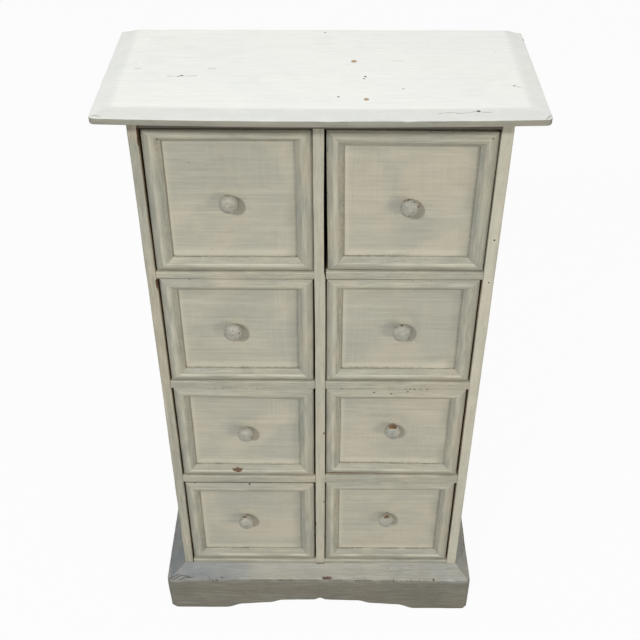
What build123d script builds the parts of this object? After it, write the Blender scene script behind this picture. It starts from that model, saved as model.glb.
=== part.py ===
from build123d import *
from math import sqrt
import os

# Painted wooden chest of eight small drawers, in millimetres.
# +Z is up, the drawers face -Y, and the origin is the bottom centre of the whole.

# Carcass
carcass_width = 460.0
carcass_depth = 208.0
side_thickness = 15.0
partition_thickness = 15.0
bottom_thickness = 15.0
bottom_reveal = 9.0
top_rail_height = 23.0
top_rail_depth = 18.0
back_thickness = 5.0
back_rebate = 8.0
housing_depth = 4.0
housing_setback = 12.0

# Openings and the shelves between them, row 1 at the top
opening_1_height = 209.0
opening_2_height = 184.0
opening_3_height = 185.0
opening_4_height = 192.0
shelf_1_thickness = 13.0
shelf_2_thickness = 13.0
shelf_3_thickness = 16.0

# Top board, bowed along its front edge, with a wide bevel on its front and two ends
top_thickness = 12.0
top_overhang = 35.0
top_bow = 6.0
bevel_width = 22.0
bevel_drop = 4.0

# Plinth, with a coved top and a scalloped lower edge at the front
plinth_height = 94.0
plinth_projection = 25.0
cove_drop = 17.0
cove_sag = 2.0
plinth_back_thickness = 15.0
plinth_back_lift = 12.0
block_leg = 30.0
block_height = 55.0

# Half outline of the scalloped edge: distance from the middle and height
foot_inner = 158.0
outer_lobe_start = 131.0
outer_lobe_low = 11.0
outer_lobe_end = 86.0
outer_lobe_high = 15.0
inner_lobe_start = 62.0
inner_lobe_low = 22.0
cusp_half_width = 10.0
inner_lobe_high = 24.0
cusp_height = 28.5
lobe_rise = 0.12

# Drawers
side_gap = 1.75
top_gap = 2.0
front_bottom_gap = 1.0
running_clearance = 0.3
front_thickness = 10.0
rear_clearance = 13.0
wall_thickness = 8.0
wall_inset = 0.5
lap_depth = 5.0
wall_shortfall = 12.0
bottom_sheet = 4.0
bottom_sheet_lift = 6.0
groove_depth = 3.0

# Moulding planted round each drawer front
moulding_width = 21.0
moulding_height = 8.0
moulding_outer_height = 4.0
moulding_inner_height = 3.5
ridge_offset = 10.0
moulding_arris = 1.5

# Turned knob
knob_diameter = 24.0
knob_projection = 21.0
head_depth = 19.0
neck_diameter = 12.0
neck_hollow = 0.5
foot_diameter = 13.0
foot_length = 1.2
spigot_diameter = 9.0

# Place of each knob off the middle of its front, sideways and up, as drilled by hand
knob_shift_1_left = -2.5
knob_rise_1_left = 2.0
knob_shift_1_right = 0.5
knob_rise_1_right = -2.5
knob_shift_2_left = -8.0
knob_rise_2_left = 4.5
knob_shift_2_right = 1.0
knob_rise_2_right = 5.0
knob_shift_3_left = -0.5
knob_rise_3_left = 3.0
knob_shift_3_right = -3.0
knob_rise_3_right = 10.0
knob_shift_4_left = -8.5
knob_rise_4_left = 5.5
knob_shift_4_right = -4.0
knob_rise_4_right = 11.0

# Nails in the top and pins in the back
nail_diameter = 2.4
nail_length = 40.0
nail_head_diameter = 5.0
nail_head_depth = 1.2
nail_edge_distance = 30.0
pin_diameter = 1.4
pin_length = 16.0
pin_head_diameter = 3.2
pin_head_depth = 1.0
pin_edge_distance = 40.0
pins_per_side = 5

# Places worked out from the sizes above
total_depth = carcass_depth + top_overhang + top_bow
front_plane = top_overhang + top_bow - total_depth / 2
back_plane = total_depth / 2
back_inner = back_plane - back_thickness
inner_half = carcass_width / 2 - side_thickness
partition_half = partition_thickness / 2
bay_width = inner_half - partition_half
bay_centre = partition_half + bay_width / 2
floor_top = plinth_height + bottom_reveal
floor_under = floor_top - bottom_thickness
plinth_half = carcass_width / 2 + plinth_projection
column_sign = {"left": -1, "right": 1}
opening_heights = {
    1: opening_1_height,
    2: opening_2_height,
    3: opening_3_height,
    4: opening_4_height,
}
shelf_thicknesses = {
    1: shelf_1_thickness,
    2: shelf_2_thickness,
    3: shelf_3_thickness,
}
knob_places = {
    (1, "left"): (knob_shift_1_left, knob_rise_1_left),
    (1, "right"): (knob_shift_1_right, knob_rise_1_right),
    (2, "left"): (knob_shift_2_left, knob_rise_2_left),
    (2, "right"): (knob_shift_2_right, knob_rise_2_right),
    (3, "left"): (knob_shift_3_left, knob_rise_3_left),
    (3, "right"): (knob_shift_3_right, knob_rise_3_right),
    (4, "left"): (knob_shift_4_left, knob_rise_4_left),
    (4, "right"): (knob_shift_4_right, knob_rise_4_right),
}


def closed_face(*runs):
    """A flat face from edges, or lists and chains of them, that close an outline."""
    edges = []
    for run in runs:
        edges += run if isinstance(run, list) else list(run.edges())
    return make_face([edge.edge() for edge in edges])


def stack_rows():
    """Heights of each row's opening, from the bottom row up, and the carcass top."""
    openings = {}
    level = floor_top
    for row in (4, 3, 2, 1):
        openings[row] = (level, level + opening_heights[row])
        level += opening_heights[row] + shelf_thicknesses.get(row - 1, 0.0)
    return openings, level + top_rail_height


row_span, carcass_top = stack_rows()
cabinet_height = carcass_top + top_thickness


def block(x, y, z):
    """A box from its low and high limits along each axis."""
    size = (x[1] - x[0], y[1] - y[0], z[1] - z[0])
    middle = ((x[0] + x[1]) / 2, (y[0] + y[1]) / 2, (z[0] + z[1]) / 2)
    return Pos(*middle) * Box(*size)


def flat_prism(points, plane, length):
    """A straight-sided outline extruded along its plane's normal."""
    outline = Polyline(*points, close=True)
    return extrude(plane * make_face(outline), length, dir=plane.z_dir)


def shelf_span(shelf):
    """Low and high faces of the shelf under a row."""
    top = row_span[shelf][0]
    return top - shelf_thicknesses[shelf], top


def housings(x):
    """The stopped slots that hold the shelves' ends, between two places along X."""
    y = (front_plane + housing_setback, back_inner)
    slots = [block(x, y, shelf_span(shelf)) for shelf in shelf_thicknesses]
    return slots


def headed_nail(shank, length, head, head_depth):
    """A nail driven down from its head, whose face lies at the origin."""
    body = Pos(0, 0, -length / 2) * Cylinder(shank / 2, length)
    cap = Pos(0, 0, -head_depth / 2) * Cylinder(head / 2, head_depth)
    return body + cap


def make_top_nails():
    """Nails through the top board into the side boards and the partition."""
    side_line = inner_half + side_thickness / 2
    first = front_plane + nail_edge_distance
    last = back_plane - nail_edge_distance
    nail = headed_nail(
        nail_diameter, nail_length, nail_head_diameter, nail_head_depth
    )
    places = [
        (x, y) for x in (-side_line, side_line) for y in (first, (first + last) / 2, last)
    ]
    places += [(0.0, first + nail_edge_distance), (0.0, last)]
    return [Pos(x, y, cabinet_height) * nail for x, y in places]


def make_back_pins():
    """Pins through the back panel into the sides, the shelves and the bottom board."""
    pin = headed_nail(pin_diameter, pin_length, pin_head_diameter, pin_head_depth)
    pin = Rot(-90, 0, 0) * pin
    side_line = inner_half + back_rebate / 2
    low = floor_under + pin_edge_distance
    step = (carcass_top - pin_edge_distance - low) / (pins_per_side - 1)
    places = [
        (x, low + step * turn) for x in (-side_line, side_line) for turn in range(pins_per_side)
    ]
    edges = [sum(shelf_span(shelf)) / 2 for shelf in shelf_thicknesses]
    edges.append((floor_under + floor_top) / 2)
    places += [(x, z) for x in (-bay_centre, bay_centre) for z in edges]
    return [Pos(x, back_plane, z) * pin for x, z in places]


def make_top_board():
    """Top board: a plan with a bowed front, bevelled along its front and two ends."""
    half = carcass_width / 2 + top_overhang
    corner = front_plane - top_overhang
    sides = Polyline((-half, corner), (-half, back_plane), (half, back_plane), (half, corner))
    front = ThreePointArc((-half, corner), (0, corner - top_bow), (half, corner))
    plan = Plane.XY.offset(carcass_top) * closed_face(sides, front)
    board = extrude(plan, top_thickness, dir=(0, 0, 1))
    field = board.faces().sort_by(Axis.Z)[-1]
    bevelled = field.edges().sort_by(Axis.Y)[:-1]
    return chamfer(bevelled, bevel_width, bevel_drop, reference=field)


def make_side(sign):
    """Side board with its rebate for the back panel and its shelf housings."""
    inner = sign * inner_half
    outer = sign * carcass_width / 2
    board = block(
        sorted((inner, outer)), (front_plane, back_plane), (0.0, carcass_top)
    )
    rebate = sorted((inner, inner + sign * back_rebate))
    board -= block(rebate, (back_inner, back_plane), (floor_under, carcass_top))
    for slot in housings(sorted((inner, inner + sign * housing_depth))):
        board -= slot
    return board


def make_partition():
    """Upright board between the two columns, notched under the top rail."""
    x = (-partition_half, partition_half)
    board = block(x, (front_plane, back_inner), (floor_top, carcass_top))
    notch = (front_plane, front_plane + top_rail_depth)
    board -= block(x, notch, (carcass_top - top_rail_height, carcass_top))
    for sign in (-1, 1):
        slot_end = partition_half - housing_depth
        for slot in housings(sorted((sign * slot_end, sign * partition_half))):
            board -= slot
    return board


def make_shelf(shelf, sign):
    """Shelf of one bay, whose two ends fit the stopped housings."""
    z = shelf_span(shelf)
    board = block(
        sorted((sign * partition_half, sign * inner_half)), (front_plane, back_inner), z
    )
    tongue = sorted(
        (sign * (partition_half - housing_depth), sign * (inner_half + housing_depth))
    )
    board += block(tongue, (front_plane + housing_setback, back_inner), z)
    return board


def scalloped_outline():
    """Closed outline of the plinth front: flat feet, two lobes a side, middle cusp."""
    flat = (-1.0, 0.0)
    lift = (-1.0, lobe_rise)
    level = Line((plinth_half, 0), (foot_inner, 0))
    first = Spline(
        (foot_inner, 0), (outer_lobe_start, outer_lobe_low), tangents=(flat, lift)
    )
    second = Line((outer_lobe_start, outer_lobe_low), (outer_lobe_end, outer_lobe_high))
    third = Spline(
        (outer_lobe_end, outer_lobe_high),
        (inner_lobe_start, inner_lobe_low),
        tangents=(lift, lift),
    )
    fourth = Line((inner_lobe_start, inner_lobe_low), (cusp_half_width, inner_lobe_high))
    fifth = Spline(
        (cusp_half_width, inner_lobe_high), (0, cusp_height), tangents=(flat, lift)
    )
    right = [level, first, second, third, fourth, fifth]
    left = [mirror(edge, about=Plane.YZ).edge() for edge in right]
    rest = Polyline(
        (plinth_half, 0),
        (plinth_half, plinth_height),
        (-plinth_half, plinth_height),
        (-plinth_half, 0),
    )
    return closed_face(right, left, rest)


def coved_section():
    """Section of a plinth board: back at zero, face at the projection."""
    face_top = plinth_height - cove_drop
    middle = (
        plinth_projection / 2 - cove_sag * cove_drop / plinth_projection,
        plinth_height - cove_drop / 2 - cove_sag,
    )
    back = Polyline(
        (0, plinth_height), (0, 0), (plinth_projection, 0), (plinth_projection, face_top)
    )
    cove = ThreePointArc((plinth_projection, face_top), middle, (0, plinth_height))
    return closed_face(back, cove)


def make_plinth_front():
    """Front plinth board, mitred at both ends and scalloped along its lower edge."""
    section = Plane((-plinth_half, front_plane, 0), x_dir=(0, -1, 0), z_dir=(-1, 0, 0))
    board = extrude(section * coved_section(), 2 * plinth_half, dir=(1, 0, 0))
    outline = Plane.XZ.offset(-front_plane) * scalloped_outline()
    board &= extrude(outline, plinth_projection, dir=(0, -1, 0))
    inner = carcass_width / 2
    mitred = [
        (-plinth_half, front_plane - plinth_projection),
        (plinth_half, front_plane - plinth_projection),
        (inner, front_plane),
        (-inner, front_plane),
    ]
    return board & flat_prism(mitred, Plane.XY, plinth_height)


def make_plinth_side(sign):
    """Side plinth board, mitred at the front and square at the back."""
    inner = sign * carcass_width / 2
    section = Plane((inner, back_plane, 0), x_dir=(sign, 0, 0), z_dir=(0, -sign, 0))
    reach = carcass_depth + plinth_projection
    board = extrude(section * coved_section(), reach, dir=(0, -1, 0))
    mitred = [
        (inner, back_plane),
        (inner, front_plane),
        (inner + sign * plinth_projection, front_plane - plinth_projection),
        (inner + sign * plinth_projection, back_plane),
    ]
    return board & flat_prism(mitred, Plane.XY, plinth_height)


def make_plinth_blocks():
    """Three-cornered glue blocks inside the four corners of the plinth."""
    low = floor_under - block_height
    back = back_plane - plinth_back_thickness
    blocks = []
    for sign in (-1, 1):
        for place, turn in ((front_plane, 1), (back, -1)):
            corner = sign * inner_half
            points = [
                (corner, place),
                (corner - sign * block_leg, place),
                (corner, place + turn * block_leg),
            ]
            blocks.append(flat_prism(points, Plane.XY.offset(low), block_height))
    return blocks


class Drawer:
    """Places of one drawer, worked out from its row and column."""

    def __init__(self, row, column):
        self.name = f"drawer_{row}_{column}"
        self.middle = column_sign[column] * bay_centre
        self.low, self.high = row_span[row]
        self.half = bay_width / 2 - side_gap
        self.front_low = self.low + front_bottom_gap
        self.front_high = self.high - top_gap
        self.panel = front_plane + moulding_height
        self.front_back = self.panel + front_thickness
        self.rear = back_inner - rear_clearance
        self.box_low = self.low + running_clearance
        self.box_high = self.high - wall_shortfall
        self.sheet_low = self.box_low + bottom_sheet_lift
        self.sheet_high = self.sheet_low + bottom_sheet
        self.wall_outer = self.half - wall_inset
        self.wall_inner = self.wall_outer - wall_thickness
        self.wall_front = self.front_back - lap_depth
        shift, rise = knob_places[(row, column)]
        self.knob_x = self.middle + shift
        self.knob_z = (self.front_low + self.front_high) / 2 + rise

    def x_range(self, near, far):
        """Low and high places along X, from distances off the drawer's middle."""
        return sorted((self.middle + near, self.middle + far))

    def make_front(self):
        """Front board with laps for the sides, a groove for the bottom and a hole."""
        z = (self.front_low, self.front_high)
        board = block(self.x_range(-self.half, self.half), (self.panel, self.front_back), z)
        for sign in (-1, 1):
            lap = self.x_range(sign * self.wall_inner, sign * self.half)
            board -= block(lap, (self.wall_front, self.front_back), (z[0], self.box_high))
        groove = (self.front_back - groove_depth, self.front_back)
        inner = self.x_range(-self.wall_inner, self.wall_inner)
        board -= block(inner, groove, (self.sheet_low, self.sheet_high))
        hole = Rot(90, 0, 0) * Cylinder(spigot_diameter / 2, front_thickness)
        middle = (self.panel + self.front_back) / 2
        return board - Pos(self.knob_x, middle, self.knob_z) * hole

    def make_moulding(self):
        """Four strips of one section, mitred round the front."""
        w = moulding_width
        outer = Line((0, 0), (0, moulding_outer_height))
        rise = ThreePointArc(
            (0, moulding_outer_height),
            (ridge_offset * 0.4, moulding_height - moulding_arris * 0.6),
            (ridge_offset, moulding_height),
        )
        fall = ThreePointArc(
            (ridge_offset, moulding_height),
            ((ridge_offset + w) / 2 + 1.0, (moulding_height + moulding_inner_height) / 2 + 0.8),
            (w, moulding_inner_height),
        )
        step = Polyline((w, moulding_inner_height), (w, 0), (0, 0))
        section = closed_face(outer, rise, fall, step)
        height = self.front_high - self.front_low
        middle_z = (self.front_high + self.front_low) / 2
        strips = []
        for inward, place, length in (
            ((0, 0, 1), (self.middle, self.front_low), 2 * self.half),
            ((0, 0, -1), (self.middle, self.front_high), 2 * self.half),
            ((1, 0, 0), (self.middle - self.half, middle_z), height),
            ((-1, 0, 0), (self.middle + self.half, middle_z), height),
        ):
            run = Vector(inward).cross(Vector(0, -1, 0))
            origin = Vector(place[0], self.panel, place[1])
            start = Plane(origin - run * (length / 2), x_dir=inward, z_dir=run)
            bar = extrude(start * section, length, dir=run)
            flat = Plane(origin, x_dir=run, z_dir=(0, -1, 0))
            mitred = [
                (-length / 2, 0),
                (length / 2, 0),
                (length / 2 - w, w),
                (-length / 2 + w, w),
            ]
            strips.append(bar & flat_prism(mitred, flat, moulding_height))
        return strips

    def make_box(self):
        """Two side boards, grooved for the bottom, and the back board between them."""
        boards = []
        for sign in (-1, 1):
            x = self.x_range(sign * self.wall_inner, sign * self.wall_outer)
            side = block(x, (self.wall_front, self.rear), (self.box_low, self.box_high))
            slot = self.x_range(
                sign * self.wall_inner, sign * (self.wall_inner + groove_depth)
            )
            side -= block(slot, (self.wall_front, self.rear), (self.sheet_low, self.sheet_high))
            boards.append(side)
        x = self.x_range(-self.wall_inner, self.wall_inner)
        back = block(x, (self.rear - wall_thickness, self.rear), (self.sheet_high, self.box_high))
        boards.append(back)
        return boards

    def make_bottom(self):
        """Bottom sheet, let into the sides and the front and running under the back."""
        reach = self.wall_inner + groove_depth
        z = (self.sheet_low, self.sheet_high)
        sheet = block(self.x_range(-reach, reach), (self.front_back, self.rear), z)
        tongue = (self.front_back - groove_depth, self.front_back)
        sheet += block(self.x_range(-self.wall_inner, self.wall_inner), tongue, z)
        return sheet

    def make_knob(self):
        """Turned knob: foot, neck, rounded head and the spigot through the front."""
        semi = head_depth / 2
        widest = knob_projection - semi
        radius = knob_diameter / 2
        neck = neck_diameter / 2
        spigot = spigot_diameter / 2
        foot = foot_diameter / 2
        lower = Polyline(
            (0, knob_projection),
            (0, -front_thickness),
            (spigot, -front_thickness),
            (spigot, 0),
            (foot, 0),
            (foot, foot_length),
        )
        head_start = widest - semi * sqrt(1 - (neck / radius) ** 2)
        middle = (neck - neck_hollow, (foot_length + head_start) / 2)
        waist = Spline((foot, foot_length), middle, (neck, head_start))
        slant = sqrt(0.5)
        head = Spline(
            (neck, head_start),
            (radius * slant, widest - semi * slant),
            (radius, widest),
            (radius * slant, widest + semi * slant),
            (0, knob_projection),
            tangents=((1, neck / radius), (-1, 0)),
        )
        profile = closed_face(lower, waist, head)
        turned = revolve(profile, Axis.Y)
        return Pos(self.knob_x, self.panel, self.knob_z) * Rot(180, 0, 0) * turned


def write(name, solids):
    """Writes one node, a single solid or a group of separate ones."""
    if isinstance(solids, list):
        solids = Compound(children=[piece.solid() for piece in solids])
    else:
        solids = solids.solid()
    export_step(solids, f"parts/{name}.step")


def cut_by(board, nails):
    """A board with the holes that the nails fill."""
    for nail in nails:
        board -= nail
    return board


def write_carcass():
    """All the pieces that stand still."""
    top_nails = make_top_nails()
    back_pins = make_back_pins()
    write("top_board", cut_by(make_top_board(), top_nails))
    for column, sign in column_sign.items():
        side = [nail for nail in top_nails if nail.center().X * sign > bay_centre]
        side += [pin for pin in back_pins if pin.center().X * sign > inner_half]
        write(f"{column}_side", cut_by(make_side(sign), side))
        write(f"plinth_{column}", make_plinth_side(sign))
        for shelf in shelf_thicknesses:
            write(f"shelf_{shelf}_{column}", cut_by(make_shelf(shelf, sign), back_pins))
    middle = [nail for nail in top_nails if abs(nail.center().X) < partition_half]
    write("centre_partition", cut_by(make_partition(), middle))
    rail_z = (carcass_top - top_rail_height, carcass_top)
    rail_y = (front_plane, front_plane + top_rail_depth)
    write("top_rail", block((-inner_half, inner_half), rail_y, rail_z))
    bottom = block(
        (-inner_half, inner_half), (front_plane, back_inner), (floor_under, floor_top)
    )
    write("bottom_board", cut_by(bottom, back_pins))
    panel_half = inner_half + back_rebate
    panel = block(
        (-panel_half, panel_half), (back_inner, back_plane), (floor_under, carcass_top)
    )
    write("back_panel", cut_by(panel, back_pins))
    write("plinth_front", make_plinth_front())
    rail = block(
        (-inner_half, inner_half),
        (back_plane - plinth_back_thickness, back_plane),
        (plinth_back_lift, floor_under),
    )
    write("plinth_back", rail)
    write("plinth_blocks", make_plinth_blocks())
    write("top_nails", top_nails)
    write("back_pins", back_pins)


def write_drawers():
    """The eight drawers, each in five nodes."""
    for row in opening_heights:
        for column in column_sign:
            drawer = Drawer(row, column)
            write(f"{drawer.name}_front", drawer.make_front())
            write(f"{drawer.name}_moulding", drawer.make_moulding())
            write(f"{drawer.name}_box", drawer.make_box())
            write(f"{drawer.name}_bottom", drawer.make_bottom())
            write(f"{drawer.name}_knob", drawer.make_knob())


os.makedirs("parts", exist_ok=True)
write_carcass()
write_drawers()
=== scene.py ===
"""Old hand-painted chest of eight small drawers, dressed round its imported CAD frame.

Sizes in this file are millimetres in the frame of the part, and become metres when a
mesh is written. Every dressed piece takes its place from the CAD node that it stands for.
"""

from __future__ import annotations

import logging
import math
from collections.abc import Sequence
from dataclasses import dataclass, field, replace
from enum import Enum

import bpy
import numpy as np
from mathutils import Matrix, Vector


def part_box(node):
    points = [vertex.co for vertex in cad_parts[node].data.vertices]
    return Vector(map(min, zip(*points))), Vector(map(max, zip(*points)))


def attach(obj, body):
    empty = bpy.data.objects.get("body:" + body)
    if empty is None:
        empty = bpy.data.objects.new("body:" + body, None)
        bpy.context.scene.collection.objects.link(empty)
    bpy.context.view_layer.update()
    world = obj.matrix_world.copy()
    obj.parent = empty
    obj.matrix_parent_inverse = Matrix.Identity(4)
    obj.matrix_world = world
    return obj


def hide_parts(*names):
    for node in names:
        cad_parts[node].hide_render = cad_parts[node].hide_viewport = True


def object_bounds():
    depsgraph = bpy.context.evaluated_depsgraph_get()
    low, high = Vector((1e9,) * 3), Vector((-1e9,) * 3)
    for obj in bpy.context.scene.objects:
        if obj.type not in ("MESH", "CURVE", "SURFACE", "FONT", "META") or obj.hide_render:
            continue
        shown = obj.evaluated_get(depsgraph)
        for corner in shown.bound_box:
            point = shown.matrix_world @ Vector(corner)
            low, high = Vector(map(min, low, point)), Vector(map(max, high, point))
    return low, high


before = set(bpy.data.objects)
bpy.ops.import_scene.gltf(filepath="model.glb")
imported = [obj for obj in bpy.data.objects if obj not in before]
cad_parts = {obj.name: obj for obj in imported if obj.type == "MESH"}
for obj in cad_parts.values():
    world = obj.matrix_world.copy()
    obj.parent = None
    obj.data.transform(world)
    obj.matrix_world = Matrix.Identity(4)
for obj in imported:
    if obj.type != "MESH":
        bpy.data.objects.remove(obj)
CAD_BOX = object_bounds()

LOG = logging.getLogger("chest")
METRES = 0.001
LONG_MARKS = 9.0
FINE_MARKS = 340.0
ARRIS_TURNS = (45.0, 30.0, 15.0, 0.0)
FLATTEST_ARRIS = 0.45
SHARP_ANGLE = 50.0
DENT_EDGE = (1.25, 0.2)
MASKS = ("wear", "grime_and_shade", "thin_and_shade", "pale")

Socket = bpy.types.NodeSocket
Material = bpy.types.Material
Colour = tuple[float, float, float]
Vector3 = tuple[float, float, float]
Band = tuple[float, float]


class Run(Enum):
    """Way in which a board was brushed, as the stretch of its brush marks per metre."""

    ACROSS = (LONG_MARKS, FINE_MARKS, FINE_MARKS)
    UPRIGHT = (FINE_MARKS, FINE_MARKS, LONG_MARKS)
    DEEP = (FINE_MARKS, LONG_MARKS, FINE_MARKS)

    def stretched(self, along: float, across: float) -> Vector3:
        """Stretch of marks so many times closer along and across the brush."""
        return tuple(mark * (along if mark == LONG_MARKS else across) for mark in self.value)


class Column(Enum):
    """One of the two columns of drawers."""

    LEFT = "left"
    RIGHT = "right"


# Shapes of the wood


@dataclass(frozen=True)
class Ripple:
    """Slow unevenness of wood that was planed, sanded and painted by hand."""

    height: float
    length: float
    seed: int
    waves: int = 7
    spread: tuple[float, float] = (0.6, 1.7)

    def at(self, points: np.ndarray) -> np.ndarray:
        """Height of the unevenness at some points.

        Args:
            points: Array of n points, one a row.

        Returns:
            Array of n heights, mostly within plus and minus the ripple's height.
        """
        rng = np.random.default_rng(self.seed)
        total = np.zeros(len(points))
        for _ in range(self.waves):
            way = rng.normal(size=3)
            way /= np.linalg.norm(way)
            turn = 2.0 * math.pi / (self.length * rng.uniform(*self.spread))
            total += np.sin(points @ way * turn + rng.uniform(0.0, 2.0 * math.pi))
        return self.height * total / math.sqrt(2.0 * self.waves)

    def patches(
        self, points: np.ndarray, mean: float = 0.0, least: float = 0.0, most: float = 1.0
    ) -> np.ndarray:
        """Ripple used as a mask: moved by mean and kept between least and most."""
        return np.clip(mean + self.at(points), least, most)


def unevenness(points: np.ndarray, slow: Band, quick: Band, seed: int) -> np.ndarray:
    """Height of a slow and a quick ripple together.

    Args:
        points: Array of n points.
        slow: Height and length of the slow ripple.
        quick: Height and length of the quick one.
        seed: Seed of the slow one; the quick one takes the next.

    Returns:
        Array of n heights.
    """
    return Ripple(*slow, seed).at(points) + Ripple(*quick, seed + 1).at(points)


@dataclass
class Skin:
    """Surface of one board: its points, faces, outward ways and masks of wear, dirt, and painted
    highlights and shade.
    """

    points: np.ndarray
    faces: list[tuple[int, ...]]
    outward: np.ndarray
    wear: np.ndarray
    # Grime mask: dirt in creases, and painted shade in gaps, on slopes turned from the lamp and on
    # the backs of the knobs.
    grime_and_shade: np.ndarray
    finish: int = 0
    level_finish: int | None = None
    level_from: float = 0.55
    # Thin mask: thin paint over the undercoat, and painted shade in the undercoat colour.
    thin_and_shade: np.ndarray | None = None
    # Pale mask: rubbed paint in places, and painted highlights on parts that face the light.
    pale: np.ndarray | None = None
    bare: np.ndarray | None = None
    bare_finish: int = 1
    bare_from: float = 0.5

    def face_finishes(self) -> list[int]:
        """Finish of each face, where bare and level faces may have their own.

        Returns:
            Index of the finish of each face.
        """
        lift = self.outward[:, 2]
        marks: list[int] = []
        for face in self.faces:
            corners = list(face)
            mark = self.finish
            if self.bare is not None and float(np.mean(self.bare[corners])) > self.bare_from:
                mark = self.bare_finish
            elif self.level_finish is not None:
                if float(np.mean(lift[corners])) > self.level_from:
                    mark = self.level_finish
            marks.append(mark)
        return marks

    def push(self, amount: np.ndarray) -> None:
        """Moves each point outward by its own amount."""
        self.points = self.points + self.outward * amount[:, None]


def arris_ticks(low: float, high: float, arris: float, spacing: float) -> np.ndarray:
    """Places along one side of a board, close together at its two rounded arrises.

    Args:
        low: Where the side starts.
        high: Where the side ends.
        arris: Radius of the rounded arris.
        spacing: Largest distance between two places.

    Returns:
        Rising array of places, with both ends.
    """
    near = arris * (1.0 - np.tan(np.radians(ARRIS_TURNS)))
    count = max(1, math.ceil((high - low - 2.0 * arris) / spacing))
    middle = np.linspace(low + arris, high - arris, count + 1)[1:-1]
    return np.concatenate([low + near, middle, high - near[::-1]])


def board_skin(low: Sequence[float], high: Sequence[float], arris: float, spacing: float) -> Skin:
    """Closed rectangular board with rounded arrises, on an even net of points.

    Args:
        low: Lowest corner.
        high: Highest corner.
        arris: Radius of every arris.
        spacing: Largest distance between two points of the net.

    Returns:
        The board, worn in its wear mask along the arrises.
    """
    low, high = np.asarray(low, float), np.asarray(high, float)
    arris = min(arris, FLATTEST_ARRIS * float((high - low).min()))
    sides = [arris_ticks(low[i], high[i], arris, spacing) for i in range(3)]
    net = np.stack(np.meshgrid(*sides, indexing="ij"), -1)
    outer = np.zeros(net.shape[:3], bool)
    outer[[0, -1]] = True
    outer[:, [0, -1]] = True
    outer[:, :, [0, -1]] = True
    index = np.full(outer.shape, -1)
    index[outer] = np.arange(int(outer.sum()))
    faces: list[tuple[int, ...]] = []
    for axis in range(3):
        for end in (0, -1):
            sheet = np.take(index, end, axis=axis)
            loop = (sheet[:-1, :-1], sheet[1:, :-1], sheet[1:, 1:], sheet[:-1, 1:])
            quads = np.stack(loop, -1).reshape(-1, 4)
            if (end == 0) != (axis == 1):
                quads = quads[:, ::-1]
            faces += [tuple(quad) for quad in quads.tolist()]
    points = net[outer]
    core = np.clip(points, low + arris, high - arris)
    out = points - core
    length = np.linalg.norm(out, axis=1, keepdims=True)
    outward = out / length
    corner = (1.0 - np.abs(outward).max(axis=1)) / (1.0 - math.sqrt(0.5))
    still = np.zeros(len(points))
    return Skin(core + outward * arris, faces, outward, np.clip(corner, 0.0, 1.0), still)


def rounded_section(corners: Sequence[tuple[float, float, float]], steps: int = 4) -> np.ndarray:
    """Closed section whose corners are rounded, each by its own radius.

    Args:
        corners: Across, up and radius of each corner, in order round the section.
        steps: Short runs that each rounded corner is made of.

    Returns:
        Array of points round the section.
    """
    places = np.array([corner[:2] for corner in corners])
    line: list[np.ndarray] = []
    for i, (_, _, radius) in enumerate(corners):
        here, before, after = places[i], places[i - 1], places[(i + 1) % len(corners)]
        if radius <= 0.0:
            line.append(here)
            continue
        back = (before - here) / np.linalg.norm(before - here)
        ahead = (after - here) / np.linalg.norm(after - here)
        for share in (step / steps for step in range(steps + 1)):
            line.append(here + back * radius * (1.0 - share) ** 2 + ahead * radius * share**2)
    return np.array(line)


def filled_section(section: np.ndarray, spacing: float) -> np.ndarray:
    """Section with more points on its long straight runs.

    Args:
        section: Array of points round the section.
        spacing: Longest run that is left as it is.

    Returns:
        Array of points round the same section.
    """
    line: list[np.ndarray] = []
    for here, after in zip(section, np.roll(section, -1, axis=0)):
        count = max(1, math.ceil(float(np.linalg.norm(after - here)) / spacing))
        line += [here + (after - here) * k / count for k in range(count)]
    return np.array(line)


def swept_skin(rings: np.ndarray) -> Skin:
    """Closed skin through rings of points, with a flat face over each end.

    Args:
        rings: Array of rings, each an array of the same number of points.

    Returns:
        The skin, with its ways outward taken from the rings' own shape.
    """
    stations, around = rings.shape[:2]
    faces: list[tuple[int, ...]] = []
    for s in range(stations - 1):
        for k in range(around):
            a, b = s * around + k, s * around + (k + 1) % around
            faces.append((a, b, b + around, a + around))
    faces.append(tuple(reversed(range(around))))
    faces.append(tuple(range((stations - 1) * around, stations * around)))
    along = np.gradient(rings, axis=0)
    round_it = np.roll(rings, -1, axis=1) - np.roll(rings, 1, axis=1)
    outward = np.cross(round_it, along)
    outward /= np.maximum(np.linalg.norm(outward, axis=2, keepdims=True), 1e-9)
    middle = rings.mean(axis=1, keepdims=True)
    if float(((rings - middle) * outward).sum()) < 0.0:
        outward = -outward
        faces = [tuple(reversed(face)) for face in faces]
    points = rings.reshape(-1, 3)
    still = np.zeros(len(points))
    return Skin(points, faces, outward.reshape(-1, 3), still.copy(), still.copy())


def box_of(node: str) -> tuple[np.ndarray, np.ndarray]:
    """Lowest and highest corner of a CAD node, in millimetres."""
    low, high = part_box(node)
    return np.array(low) / METRES, np.array(high) / METRES


def smooth_step(value: np.ndarray, start: float, end: float) -> np.ndarray:
    """Value brought to 0 before start and 1 after end, with a soft turn at both."""
    share = np.clip((value - start) / (end - start), 0.0, 1.0)
    return share * share * (3.0 - 2.0 * share)


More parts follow.
